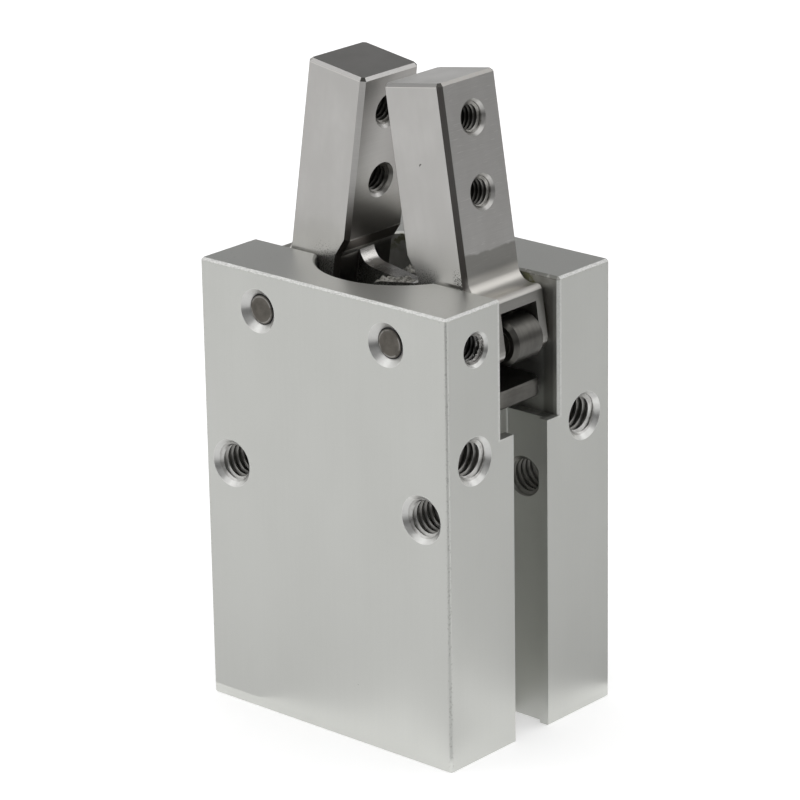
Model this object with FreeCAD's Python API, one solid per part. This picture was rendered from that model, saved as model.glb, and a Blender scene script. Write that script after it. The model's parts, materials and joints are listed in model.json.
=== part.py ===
import FreeCAD, Part
import math
import os

# Pneumatic angular gripper with two pistons.
# Millimetres. X runs across the two fingers, Y from the front face to the back, Z up.
# The origin is the middle of the base. The fingers are drawn closed.

# Body block
BODY_WIDTH = 30.6
BODY_DEPTH = 23.6
BODY_HEIGHT = 44.6
BODY_CORNER_ROUND = 0.3
BODY_EDGE_CHAMFER = 0.22
BASE_EDGE_CHAMFER = 0.1
BORE_RADIUS = 8.0
MOUTH_STEP = 0.4
POCKET_DEPTH = 13.55

# Side grooves for the position switches
GROOVE_DEPTH = 5.3
GROOVE_WIDTH = 6.0
GROOVE_MOUTH = 4.9
GROOVE_LIP = 1.05
GROOVE_CORNER_ROUND = 0.2

# Finger motion
PIVOT_SPACING = 16.0
PIVOT_DROP = 3.9
CLOSED_TILT = 8.75
FINGER_TRAVEL = 38.75

# Finger jaw and foot, measured from the pivot with the finger upright
FINGER_WIDTH = 8.0
FINGER_REACH = 22.6
FINGER_CHAMFER = 0.42
TIP_CHAMFER = 0.3
JAW_INSIDE = 3.5
JAW_OUTSIDE = 3.6
JAW_HEEL = 6.3
HEEL_UNDERCUT = 1.9
FOOT_INSIDE = 2.6
FOOT_OUTSIDE = 6.15
FOOT_BELOW = 3.85
FOOT_ROUND = 1.2
LEDGE_HEIGHT = 2.3
LEDGE_ROUND = 0.6
LEDGE_FILLET = 1.6

# Inner arms of the fingers
ARM_TOP = 3.3
ARM_ROOT_BELOW = 2.2
ARM_FILLET = 1.7
ARM_TOP_ROUND = 2.3
ARM_END_WALL = 1.1
TONGUE_THICKNESS = 2.0
TINE_THICKNESS = 1.2

# Side rollers, placed from the pivot with the finger upright
ROLLER_OUT = 4.75
ROLLER_BELOW = 2.2
ROLLER_RADIUS = 2.25
ROLLER_LENGTH = 4.35
ROLLER_CHAMFER = 0.4
ROLLER_HUB_STEP = 0.1
ROLLER_HUB_WALL = 0.55
ROLLER_PIN_RADIUS = 0.8
CHEEK_THICKNESS = 1.45
WINDOW_ABOVE_ROLLER = 0.82
WINDOW_BEHIND_ROLLER = 0.3

# Pins and screws
PIVOT_PIN_RADIUS = 1.5
PIVOT_PIN_RECESS = 0.5
PIVOT_SINK_RADIUS = 2.17
PIN_END_CHAMFER = 0.2
CENTRE_PIN_RADIUS = 1.25
SET_SCREW_RADIUS = 1.5
SET_SCREW_LENGTH = 3.0
SET_SCREW_SOCKET = 1.5
SET_SCREW_SOCKET_DEPTH = 1.5
SET_SCREW_FROM_FRONT = 4.1
SET_SCREW_SINK_RADIUS = 1.77

# Threads, drawn at their outer diameter
MOUNT_THREAD_RADIUS = 2.0
MOUNT_SINK_RADIUS = 2.4
MOUNT_THREAD_INSET = 3.3
MOUNT_THREAD_HEIGHT = 24.6
SIDE_THREAD_SPACING = 16.0
SIDE_THREAD_HEIGHT = 30.0
SIDE_THREAD_DEPTH = 6.0
BASE_THREAD_SPACING_X = 20.0
BASE_THREAD_SPACING_Y = 16.0
BASE_THREAD_DEPTH = 7.0
FINGER_THREAD_RADIUS = 1.5
FINGER_SINK_RADIUS = 1.78
FINGER_THREAD_FROM_TIP = 3.9
FINGER_THREAD_SPACING = 7.0
FINGER_THREAD_COUNT = 2

# Air ports in the left face
PORT_RADIUS = 2.5
PORT_SINK_RADIUS = 2.8
PORT_DEPTH = 4.5
PORT_OFFSET = 7.4
CLOSING_PORT_HEIGHT = 18.8
OPENING_PORT_HEIGHT = 12.2
PASSAGE_RADIUS = 0.8
PASSAGE_INLET_ANGLE = 45.0

# Lower piston and its rod
PISTON_HEIGHT = 8.0
WEAR_RING_HEIGHT = 1.0
WEAR_RING_DEPTH = 0.6
MAGNET_HEIGHT = 2.4
MAGNET_DEPTH = 2.3
MAGNET_COVER = 0.25
PISTON_LAND = 0.8
SEAL_HEIGHT = 1.8
SEAL_DEPTH = 1.35
SEAL_ROUND = 0.5
ROD_RADIUS = 2.5
ROD_SPIGOT_RADIUS = 2.0
ROD_SPIGOT_LENGTH = 3.6
ROD_SCREW_RADIUS = 1.25
ROD_SCREW_HEAD_RADIUS = 2.4
ROD_SCREW_HEAD_HEIGHT = 1.8
ROD_SCREW_LENGTH = 9.0
ROD_SCREW_SOCKET = 2.0
ROD_SCREW_SOCKET_DEPTH = 0.9
CLEVIS_FLOOR = 1.2
CLEVIS_ROOM = 1.3
CLEVIS_EAR_WALL = 1.0

# Upper piston, a ring round the rod with an arm to each side
UPPER_HEAD_HEIGHT = 6.3
CROSS_ARM_WIDTH = 7.3
CROSS_ARM_THICKNESS = 1.75
CROSS_ARM_ROUND = 1.6
CROSS_ARM_CHAMFER = 0.2
CROSS_ARM_SETBACK = 1.2
ROLLER_REST_GAP = 2.1

# End cap in the base
RING_THICKNESS = 1.0
RING_FROM_BASE = 0.5
RING_GROOVE_DEPTH = 0.7
RING_SECTION = 1.7
RING_GAP = 3.2
RING_EYE_RADIUS = 0.55
RING_EYE_OUTSIDE = 1.1
CAP_THICKNESS = 5.0
CAP_RECESS_RADIUS = 4.6
CAP_RECESS_DEPTH = 1.2
BUMPER_RADIUS = 5.0
BUMPER_SEAT = 0.8
BUMPER_PROUD = 0.65

# Clearances
SLOT_CLEARANCE = 0.15
ROLLER_SIDE_CLEARANCE = 0.1
ARM_SIDE_CLEARANCE = 0.15
PIN_CLEARANCE = 0.03
PISTON_CLEARANCE = 0.05
SEAL_CLEARANCE = 0.02
CONTACT_CLEARANCE = 0.05
CLEVIS_CLEARANCE = 0.3
CUT_OVERRUN = 1.0
SAME_PLACE = 1e-6
HEXAGON_SIDES = 6

# Places worked out from the sizes above
PIVOT_X = PIVOT_SPACING / 2
PIVOT_Z = BODY_HEIGHT - PIVOT_DROP
SIDE_X = BODY_WIDTH / 2
FACE_Y = BODY_DEPTH / 2
FINGER_SIDE = FINGER_WIDTH / 2
SLOT_SIDE = FINGER_SIDE + SLOT_CLEARANCE
MOUTH_RADIUS = BORE_RADIUS + MOUTH_STEP
GROOVE_FLOOR_X = SIDE_X - GROOVE_DEPTH
GROOVE_LIP_X = SIDE_X - GROOVE_LIP
MOUNT_X = SIDE_X - MOUNT_THREAD_INSET
HALF_TRAVEL = math.radians(FINGER_TRAVEL / 2)

# The rod lifts the centre pin from as far below the pivots as it ends above them
ROD_STROKE = 2 * PIVOT_X * math.tan(HALF_TRAVEL)
CENTRE_PIN_Z = PIVOT_Z - ROD_STROKE / 2
PIN_REACH_SHORT = PIVOT_X
PIN_REACH_LONG = PIVOT_X / math.cos(HALF_TRAVEL)
PIN_LINE_DIP = FINGER_TRAVEL / 2 - CLOSED_TILT

# A steady rod speed and a steady turn drift apart by this much between the ends
PIN_DRIFT_TURN = math.acos(math.sqrt(2 * PIVOT_X * HALF_TRAVEL / ROD_STROKE))
PIN_DRIFT = ROD_STROKE / 2 * PIN_DRIFT_TURN / HALF_TRAVEL - PIVOT_X * math.tan(PIN_DRIFT_TURN)
PIN_SLOT_RADIUS = CENTRE_PIN_RADIUS + PIN_DRIFT + PIN_CLEARANCE
ARM_END_RADIUS = PIN_SLOT_RADIUS + ARM_END_WALL

# The side rollers swing down as the fingers open, and end just over the upper piston's arms
ROLLER_SWING = math.hypot(ROLLER_OUT, ROLLER_BELOW)
ROLLER_DIP_CLOSED = math.atan2(ROLLER_BELOW, ROLLER_OUT) - math.radians(CLOSED_TILT)
ROLLER_DIP_OPEN = ROLLER_DIP_CLOSED + math.radians(FINGER_TRAVEL)
ROLLER_Z_CLOSED = PIVOT_Z - ROLLER_SWING * math.sin(ROLLER_DIP_CLOSED)
ROLLER_DROP = ROLLER_SWING * (math.sin(ROLLER_DIP_OPEN) - math.sin(ROLLER_DIP_CLOSED))
UPPER_STROKE = ROLLER_DROP - ROLLER_REST_GAP + CONTACT_CLEARANCE
CROSS_ARM_TOP_Z = ROLLER_Z_CLOSED - ROLLER_RADIUS - ROLLER_REST_GAP
CROSS_ARM_Z = CROSS_ARM_TOP_Z - CROSS_ARM_THICKNESS
CROSS_ARM_X = SIDE_X - CROSS_ARM_SETBACK
UPPER_BOTTOM_Z = CROSS_ARM_Z - UPPER_HEAD_HEIGHT
POCKET_Z = BODY_HEIGHT - POCKET_DEPTH
WINDOW_SIDE = FINGER_SIDE - CHEEK_THICKNESS
ROLLER_SHIFT = WINDOW_SIDE - ROLLER_SIDE_CLEARANCE - ROLLER_LENGTH / 2

# The stack in the base, from the retaining ring up to the lower piston
CAP_Z = RING_FROM_BASE + RING_THICKNESS
CAP_TOP_Z = CAP_Z + CAP_THICKNESS
BUMPER_TOP_Z = CAP_TOP_Z + BUMPER_PROUD
PISTON_Z = BUMPER_TOP_Z + CONTACT_CLEARANCE
PISTON_TOP_Z = PISTON_Z + PISTON_HEIGHT
PISTON_RADIUS = BORE_RADIUS - PISTON_CLEARANCE
SEAL_OUTSIDE = BORE_RADIUS - SEAL_CLEARANCE

# The clevis on the rod holds the centre pin outside the tines
TONGUE_SIDE = TONGUE_THICKNESS / 2
TINE_INNER = TONGUE_SIDE + ARM_SIDE_CLEARANCE
TINE_OUTER = TINE_INNER + TINE_THICKNESS
EAR_INNER = TINE_OUTER + ARM_SIDE_CLEARANCE
EAR_RADIUS = CENTRE_PIN_RADIUS + CLEVIS_EAR_WALL
CLEVIS_SLOT_Z = CENTRE_PIN_Z - ARM_END_RADIUS - CLEVIS_ROOM
CLEVIS_Z = CLEVIS_SLOT_Z - CLEVIS_FLOOR
CLEVIS_WELL_RADIUS = math.hypot(EAR_RADIUS, FINGER_SIDE) + CLEVIS_CLEARANCE
CLEVIS_WELL_Z = CLEVIS_Z - CLEVIS_CLEARANCE

X_AXIS = FreeCAD.Vector(1, 0, 0)
Y_AXIS = FreeCAD.Vector(0, 1, 0)
Z_AXIS = FreeCAD.Vector(0, 0, 1)
ORIGIN = FreeCAD.Vector(0, 0, 0)


def point(x, y, z):
    return FreeCAD.Vector(x, y, z)


def box(x0, x1, y0, y1, z0, z1):
    return Part.makeBox(x1 - x0, y1 - y0, z1 - z0, point(x0, y0, z0))


def bar(start, end, radius):
    """Round bar from one point to another."""
    return Part.makeCylinder(radius, (end - start).Length, start, end - start)


def ring(inner, outer, z0, z1):
    """Flat-sided ring on the Z axis; an inner radius of 0 gives a disc."""
    solid = Part.makeCylinder(outer, z1 - z0, point(0, 0, z0))
    if inner > 0:
        solid = solid.cut(Part.makeCylinder(inner, z1 - z0, point(0, 0, z0)))
    return solid


def chamfered_bar(start, end, radius, chamfer):
    """Round bar with both end rims bevelled."""
    solid = bar(start, end, radius)
    rims = [edge for edge in solid.Edges if edge.Closed]
    return solid.makeChamfer(chamfer, rims)


def bend(centre, radius, angle_from, angle_to):
    """An arc step of an outline, as its middle and end points; angles in degrees."""
    steps = []
    for angle in ((angle_from + angle_to) / 2, angle_to):
        turn = math.radians(angle)
        steps.append((centre[0] + radius * math.cos(turn), centre[1] + radius * math.sin(turn)))
    return tuple(steps)


def prism(start, steps, y0, y1):
    """Extrude an XZ outline along Y. A step is a point for a line, or two points for an arc."""
    edges = []
    here = start
    for step in list(steps) + [start]:
        if isinstance(step[0], tuple):
            middle, there = step
            arc = Part.Arc(point(here[0], y0, here[1]), point(middle[0], y0, middle[1]),
                           point(there[0], y0, there[1]))
            edges.append(arc.toShape())
        else:
            there = step
            line = Part.LineSegment(point(here[0], y0, here[1]), point(there[0], y0, there[1]))
            edges.append(line.toShape())
        here = there
    face = Part.Face(Part.Wire(edges))
    return face.extrude(point(0, y1 - y0, 0))


def sunk_hole(mouth, inward, depth, radius, sink_radius):
    """Cutter for a hole with a bevelled mouth."""
    hole = bar(mouth - inward * CUT_OVERRUN, mouth + inward * depth, radius)
    sink_depth = sink_radius - radius
    sink = Part.makeCone(sink_radius + CUT_OVERRUN, radius, sink_depth + CUT_OVERRUN,
                         mouth - inward * CUT_OVERRUN, inward)
    return hole.fuse(sink)


def mount_thread(mouth, inward, depth):
    """Cutter for one of the body's mounting threads."""
    return sunk_hole(mouth, inward, depth, MOUNT_THREAD_RADIUS, MOUNT_SINK_RADIUS)


def socket(mouth, inward, depth, across_flats):
    """Cutter for a hexagon socket."""
    corner = across_flats / math.sqrt(3)
    side = X_AXIS.cross(inward)
    if side.Length == 0:
        side = Y_AXIS
    other = inward.cross(side)
    corners = []
    for number in range(HEXAGON_SIDES + 1):
        turn = 2 * math.pi * number / HEXAGON_SIDES
        corners.append(mouth + side * (corner * math.cos(turn)) + other * (corner * math.sin(turn)))
    return Part.Face(Part.makePolygon(corners)).extrude(inward * depth)


def groove_ring(depth, z0, z1):
    """Cutter for a groove round the outside of a piston."""
    return ring(PISTON_RADIUS - depth, PISTON_RADIUS + CUT_OVERRUN, z0, z1)


def outer_seal(z0):
    """Seal in an outside groove, its lip edges rounded."""
    solid = ring(PISTON_RADIUS - SEAL_DEPTH, SEAL_OUTSIDE, z0, z0 + SEAL_HEIGHT)
    rims = []
    for edge in solid.Edges:
        if edge.Closed and abs(edge.Curve.Radius - SEAL_OUTSIDE) < SEAL_CLEARANCE:
            rims.append(edge)
    return solid.makeFillet(SEAL_ROUND, rims)


def mirrored(shape):
    return shape.mirror(ORIGIN, X_AXIS)


def edges_at_height(shape, height):
    """Edges that lie level at this height."""
    found = []
    for edge in shape.Edges:
        bounds = edge.BoundBox
        if abs(bounds.ZMin - height) < SAME_PLACE and abs(bounds.ZMax - height) < SAME_PLACE:
            found.append(edge)
    return found


def upright_edges(shape, across, aside):
    """Straight edges along Z at these distances from the middle."""
    found = []
    for edge in shape.Edges:
        bounds = edge.BoundBox
        upright = bounds.XLength < SAME_PLACE and bounds.YLength < SAME_PLACE
        placed = abs(abs(bounds.XMin) - across) < SAME_PLACE and abs(abs(bounds.YMin) - aside) < SAME_PLACE
        if upright and placed:
            found.append(edge)
    return found


# Body block

def body_shell():
    """Outside of the block with the finger slot, mouth and bore."""
    block = box(-SIDE_X, SIDE_X, -FACE_Y, FACE_Y, 0, BODY_HEIGHT)
    block = block.makeFillet(BODY_CORNER_ROUND, upright_edges(block, SIDE_X, FACE_Y))
    over = BODY_HEIGHT + CUT_OVERRUN
    slot = box(-BODY_WIDTH, BODY_WIDTH, -SLOT_SIDE, SLOT_SIDE, POCKET_Z, over)
    mouth = Part.makeCylinder(MOUTH_RADIUS, over - POCKET_Z, point(0, 0, POCKET_Z))
    bore = Part.makeCylinder(BORE_RADIUS, over + CUT_OVERRUN, point(0, 0, -CUT_OVERRUN))
    block = block.cut(slot.fuse([mouth, bore]).removeSplitter())
    rims = edges_at_height(block, BODY_HEIGHT) + upright_edges(block, SIDE_X, SLOT_SIDE)
    block = block.makeChamfer(BODY_EDGE_CHAMFER, rims)
    return block.makeChamfer(BASE_EDGE_CHAMFER, edges_at_height(block, 0))


def side_groove():
    """Cutter for the groove in the right side, narrower at its mouth."""
    top = POCKET_Z + CUT_OVERRUN
    half = GROOVE_WIDTH / 2
    inside = box(GROOVE_FLOOR_X, GROOVE_LIP_X, -half, half, -CUT_OVERRUN, top)
    inside = inside.makeFillet(GROOVE_CORNER_ROUND, upright_edges(inside, GROOVE_FLOOR_X, half))
    half = GROOVE_MOUTH / 2
    mouth = box(GROOVE_FLOOR_X, SIDE_X + CUT_OVERRUN, -half, half, -CUT_OVERRUN, top)
    return inside.fuse(mouth)


def front_and_back_holes():
    """Pivot pin holes, and mounting threads that open into the side grooves."""
    cuts = []
    for side in (-1, 1):
        for face in (-1, 1):
            inward = Y_AXIS * -face
            pivot = point(side * PIVOT_X, face * FACE_Y, PIVOT_Z)
            cuts.append(sunk_hole(pivot, inward, FACE_Y, PIVOT_PIN_RADIUS, PIVOT_SINK_RADIUS))
            mount = point(side * MOUNT_X, face * FACE_Y, MOUNT_THREAD_HEIGHT)
            depth = FACE_Y - GROOVE_MOUTH / 2
            cuts.append(mount_thread(mount, inward, depth))
    return cuts


def set_screw_y():
    return -FACE_Y + SET_SCREW_FROM_FRONT


def side_holes():
    """Mounting threads in the right face, and a set screw hole towards each pivot pin."""
    cuts = []
    for face in (-1, 1):
        mouth = point(SIDE_X, face * SIDE_THREAD_SPACING / 2, SIDE_THREAD_HEIGHT)
        cuts.append(mount_thread(mouth, -X_AXIS, SIDE_THREAD_DEPTH))
    for side in (-1, 1):
        mouth = point(side * SIDE_X, set_screw_y(), PIVOT_Z)
        inward = X_AXIS * -side
        depth = SIDE_X - PIVOT_X
        cuts.append(sunk_hole(mouth, inward, depth, SET_SCREW_RADIUS, SET_SCREW_SINK_RADIUS))
    return cuts


def base_holes():
    """Mounting threads in the base."""
    cuts = []
    for x in (-BASE_THREAD_SPACING_X / 2, BASE_THREAD_SPACING_X / 2):
        for y in (-BASE_THREAD_SPACING_Y / 2, BASE_THREAD_SPACING_Y / 2):
            cuts.append(mount_thread(point(x, y, 0), Z_AXIS, BASE_THREAD_DEPTH))
    return cuts


def air_ports():
    """Two ports in the left face, each with a slanting passage into the bore."""
    between = (PISTON_TOP_Z + ROD_STROKE + UPPER_BOTTOM_Z - UPPER_STROKE) / 2
    below = (CAP_TOP_Z + PISTON_Z) / 2
    turn = math.radians(PASSAGE_INLET_ANGLE)
    cuts = []
    for side, height, chamber in ((-1, CLOSING_PORT_HEIGHT, between), (1, OPENING_PORT_HEIGHT, below)):
        mouth = point(-SIDE_X, side * PORT_OFFSET, height)
        cuts.append(sunk_hole(mouth, X_AXIS, PORT_DEPTH, PORT_RADIUS, PORT_SINK_RADIUS))
        floor = mouth + X_AXIS * (PORT_DEPTH - PASSAGE_RADIUS)
        inlet = point(-BORE_RADIUS * math.cos(turn), side * BORE_RADIUS * math.sin(turn), chamber)
        cuts.append(bar(floor, inlet, PASSAGE_RADIUS))
    return cuts


def ring_groove():
    return ring(0, BORE_RADIUS + RING_GROOVE_DEPTH, RING_FROM_BASE, RING_FROM_BASE + RING_THICKNESS)


def make_body_block():
    grooves = [side_groove(), mirrored(side_groove())]
    block = body_shell()
    holes = [front_and_back_holes(), side_holes(), base_holes()]
    for cuts in [grooves] + holes + [air_ports(), [ring_groove()]]:
        block = block.cut(cuts)
    return block


# Fingers

def finger_outline():
    """Side view of jaw and foot, the pivot at zero and the inner face to the left."""
    fillet_x = JAW_OUTSIDE + LEDGE_FILLET
    fillet_z = LEDGE_HEIGHT + LEDGE_FILLET
    start = (-JAW_INSIDE, FINGER_REACH)
    steps = [
        (JAW_OUTSIDE, FINGER_REACH),
        (JAW_OUTSIDE, fillet_z),
        bend((fillet_x, fillet_z), LEDGE_FILLET, 180, 270),
        (FOOT_OUTSIDE - LEDGE_ROUND, LEDGE_HEIGHT),
        bend((FOOT_OUTSIDE - LEDGE_ROUND, LEDGE_HEIGHT - LEDGE_ROUND), LEDGE_ROUND, 90, 0),
        (FOOT_OUTSIDE, FOOT_ROUND - FOOT_BELOW),
        bend((FOOT_OUTSIDE - FOOT_ROUND, FOOT_ROUND - FOOT_BELOW), FOOT_ROUND, 0, -90),
        (FOOT_ROUND - FOOT_INSIDE, -FOOT_BELOW),
        bend((FOOT_ROUND - FOOT_INSIDE, FOOT_ROUND - FOOT_BELOW), FOOT_ROUND, 270, 180),
        (-FOOT_INSIDE, JAW_HEEL - HEEL_UNDERCUT),
        (-JAW_INSIDE, JAW_HEEL),
    ]
    return start, steps


def finger_blank():
    """Jaw and foot with bevelled edges."""
    start, steps = finger_outline()
    blank = prism(start, steps, -FINGER_SIDE, FINGER_SIDE)
    rims = []
    for edge in blank.Edges:
        bounds = edge.BoundBox
        on_side = bounds.YLength < SAME_PLACE
        at_tip = bounds.ZMin > FINGER_REACH - SAME_PLACE
        if on_side and not at_tip:
            rims.append(edge)
    blank = blank.makeChamfer(FINGER_CHAMFER, rims)
    return blank.makeChamfer(TIP_CHAMFER, edges_at_height(blank, FINGER_REACH))


def pin_line(reach):
    """Point of a finger's inner arm on the line from the pivot through the centre pin."""
    dip = math.radians(PIN_LINE_DIP)
    return (-reach * math.cos(dip), -reach * math.sin(dip))


def arm_plate(y0, y1):
    """One plate of an inner arm, rooted in the foot, with its slot for the centre pin."""
    end_x, end_z = pin_line(PIN_REACH_LONG)
    tip_x = end_x - ARM_END_RADIUS
    fillet_z = ARM_TOP + ARM_FILLET
    start = (0, fillet_z)
    steps = [
        (-FOOT_INSIDE, fillet_z),
        bend((-FOOT_INSIDE - ARM_FILLET, fillet_z), ARM_FILLET, 0, -90),
        (tip_x + ARM_TOP_ROUND, ARM_TOP),
        bend((tip_x + ARM_TOP_ROUND, ARM_TOP - ARM_TOP_ROUND), ARM_TOP_ROUND, 90, 180),
        (tip_x, end_z),
        bend((end_x, end_z), ARM_END_RADIUS, 180, 270),
        (-FOOT_INSIDE, -ARM_ROOT_BELOW),
        (0, -ARM_ROOT_BELOW),
    ]
    plate = prism(start, steps, y0, y1)
    near_x, near_z = pin_line(PIN_REACH_SHORT - PIN_CLEARANCE)
    far_x, far_z = pin_line(PIN_REACH_LONG + PIN_CLEARANCE)
    near = point(near_x, y0, near_z)
    far = point(far_x, y0, far_z)
    across = (far - near).cross(Y_AXIS).normalize() * PIN_SLOT_RADIUS
    corners = [near + across, far + across, far - across, near - across, near + across]
    width = point(0, y1 - y0, 0)
    slot = Part.Face(Part.makePolygon(corners)).extrude(width)
    ends = [bar(place, place + width, PIN_SLOT_RADIUS) for place in (near, far)]
    return plate.cut([slot] + ends)


def make_finger(arm_plates):
    """A finger, upright with its pivot at the origin."""
    finger = finger_blank().fuse(arm_plates).removeSplitter()
    across = point(0, FINGER_WIDTH, 0)
    window_top = ROLLER_RADIUS - ROLLER_BELOW + WINDOW_ABOVE_ROLLER
    window_back = ROLLER_OUT - ROLLER_RADIUS - WINDOW_BEHIND_ROLLER
    window_front = FOOT_OUTSIDE + CUT_OVERRUN
    window_bottom = -FOOT_BELOW - CUT_OVERRUN
    roller_pin = point(ROLLER_OUT, 0, -ROLLER_BELOW)
    cuts = [
        bar(-across, across, PIVOT_PIN_RADIUS + PIN_CLEARANCE),
        box(window_back, window_front, -WINDOW_SIDE, WINDOW_SIDE, window_bottom, window_top),
        bar(roller_pin - across, roller_pin + across, ROLLER_PIN_RADIUS),
    ]
    depth = JAW_INSIDE + JAW_OUTSIDE
    for number in range(FINGER_THREAD_COUNT):
        height = FINGER_REACH - FINGER_THREAD_FROM_TIP - number * FINGER_THREAD_SPACING
        for x, inward in ((-JAW_INSIDE, X_AXIS), (JAW_OUTSIDE, -X_AXIS)):
            mouth = point(x, 0, height)
            cuts.append(sunk_hole(mouth, inward, depth, FINGER_THREAD_RADIUS, FINGER_SINK_RADIUS))
    return finger.cut(cuts)


def make_side_roller():
    """Roller with a raised hub at each end, lying against the fork's rear cheek."""
    centre = point(ROLLER_OUT, ROLLER_SHIFT, -ROLLER_BELOW)
    half = point(0, ROLLER_LENGTH / 2, 0)
    step = point(0, ROLLER_HUB_STEP, 0)
    hub_radius = ROLLER_PIN_RADIUS + ROLLER_HUB_WALL
    roller = chamfered_bar(centre - half + step, centre + half - step, ROLLER_RADIUS, ROLLER_CHAMFER)
    hub = bar(centre - half, centre + half, hub_radius)
    hole = bar(centre - half * 2, centre + half * 2, ROLLER_PIN_RADIUS + PIN_CLEARANCE)
    return roller.fuse(hub).cut(hole)


def make_roller_pin():
    centre = point(ROLLER_OUT, 0, -ROLLER_BELOW)
    half = point(0, FINGER_SIDE - PIN_END_CHAMFER, 0)
    return chamfered_bar(centre - half, centre + half, ROLLER_PIN_RADIUS, PIN_END_CHAMFER)


def on_right(shape):
    """Tilt an upright finger piece to the closed place on the right pivot."""
    placed = shape.copy()
    placed.rotate(ORIGIN, Y_AXIS, -CLOSED_TILT)
    placed.translate(point(PIVOT_X, 0, PIVOT_Z))
    return placed


def on_left(shape):
    return mirrored(on_right(shape))


def tongue():
    return [arm_plate(-TONGUE_SIDE, TONGUE_SIDE)]


def tines():
    return [arm_plate(-TINE_OUTER, -TINE_INNER), arm_plate(TINE_INNER, TINE_OUTER)]


# Pins and set screws

def make_pivot_pin():
    half = point(0, FACE_Y - PIVOT_PIN_RECESS, 0)
    centre = point(PIVOT_X, 0, PIVOT_Z)
    return chamfered_bar(centre - half, centre + half, PIVOT_PIN_RADIUS, PIN_END_CHAMFER)


def make_set_screw():
    """Socket set screw that bears on the right pivot pin."""
    tip = point(PIVOT_X + PIVOT_PIN_RADIUS, set_screw_y(), PIVOT_Z)
    head = tip + X_AXIS * SET_SCREW_LENGTH
    screw = chamfered_bar(tip, head, SET_SCREW_RADIUS, PIN_END_CHAMFER)
    return screw.cut(socket(head, -X_AXIS, SET_SCREW_SOCKET_DEPTH, SET_SCREW_SOCKET))


# Lower piston, rod and centre pin

WEAR_RING_Z = PISTON_Z + PISTON_LAND
MAGNET_Z = WEAR_RING_Z + WEAR_RING_HEIGHT + PISTON_LAND
PISTON_SEAL_Z = PISTON_TOP_Z - PISTON_LAND - SEAL_HEIGHT
SCREW_SEAT_Z = PISTON_Z + ROD_SCREW_HEAD_HEIGHT + CONTACT_CLEARANCE
SPIGOT_Z = PISTON_TOP_Z - ROD_SPIGOT_LENGTH


def make_lower_piston():
    piston = ring(ROD_SCREW_RADIUS, PISTON_RADIUS, PISTON_Z, PISTON_TOP_Z)
    head_room = ROD_SCREW_HEAD_RADIUS + CONTACT_CLEARANCE
    cuts = [
        groove_ring(WEAR_RING_DEPTH, WEAR_RING_Z, WEAR_RING_Z + WEAR_RING_HEIGHT),
        groove_ring(MAGNET_DEPTH, MAGNET_Z, MAGNET_Z + MAGNET_HEIGHT),
        groove_ring(SEAL_DEPTH, PISTON_SEAL_Z, PISTON_SEAL_Z + SEAL_HEIGHT),
        ring(0, head_room, PISTON_Z - CUT_OVERRUN, SCREW_SEAT_Z),
        ring(0, ROD_SPIGOT_RADIUS, SPIGOT_Z, PISTON_TOP_Z + CUT_OVERRUN),
    ]
    return piston.cut(cuts)


def make_wear_ring():
    inner = PISTON_RADIUS - WEAR_RING_DEPTH
    return ring(inner, SEAL_OUTSIDE, WEAR_RING_Z, WEAR_RING_Z + WEAR_RING_HEIGHT)


def make_magnet_ring():
    inner = PISTON_RADIUS - MAGNET_DEPTH
    return ring(inner, PISTON_RADIUS - MAGNET_COVER, MAGNET_Z, MAGNET_Z + MAGNET_HEIGHT)


def make_rod_screw():
    head_z = SCREW_SEAT_Z - ROD_SCREW_HEAD_HEIGHT
    screw = ring(0, ROD_SCREW_HEAD_RADIUS, head_z, SCREW_SEAT_Z)
    screw = screw.fuse(ring(0, ROD_SCREW_RADIUS, SCREW_SEAT_Z, SCREW_SEAT_Z + ROD_SCREW_LENGTH))
    return screw.cut(socket(point(0, 0, head_z), Z_AXIS, ROD_SCREW_SOCKET_DEPTH, ROD_SCREW_SOCKET))


def make_piston_rod():
    """Rod with a clevis on top, whose two ears hold the centre pin."""
    rod = ring(0, ROD_RADIUS, PISTON_TOP_Z, CLEVIS_Z + CLEVIS_FLOOR)
    spigot = ring(0, ROD_SPIGOT_RADIUS, SPIGOT_Z, PISTON_TOP_Z)
    ear = prism(
        (-EAR_RADIUS, CLEVIS_Z),
        [
            (EAR_RADIUS, CLEVIS_Z),
            (EAR_RADIUS, CENTRE_PIN_Z),
            bend((0, CENTRE_PIN_Z), EAR_RADIUS, 0, 180),
        ],
        -FINGER_SIDE, FINGER_SIDE)
    top = CENTRE_PIN_Z + EAR_RADIUS + CUT_OVERRUN
    reach = ROD_RADIUS + CUT_OVERRUN
    slot = box(-reach, reach, -EAR_INNER, EAR_INNER, CLEVIS_SLOT_Z, top)
    across = point(0, FINGER_WIDTH, 0)
    pin = point(0, 0, CENTRE_PIN_Z)
    pin_hole = bar(pin - across, pin + across, CENTRE_PIN_RADIUS)
    screw_end = SCREW_SEAT_Z + ROD_SCREW_LENGTH
    tapped = ring(0, ROD_SCREW_RADIUS, SPIGOT_Z - CUT_OVERRUN, screw_end + CUT_OVERRUN)
    return rod.fuse([spigot, ear]).cut([slot, pin_hole, tapped])


def make_centre_pin():
    half = point(0, FINGER_SIDE, 0)
    pin = point(0, 0, CENTRE_PIN_Z)
    return chamfered_bar(pin - half, pin + half, CENTRE_PIN_RADIUS, PIN_END_CHAMFER)


# Upper piston

UPPER_SEAL_Z = UPPER_BOTTOM_Z + PISTON_LAND


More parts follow.
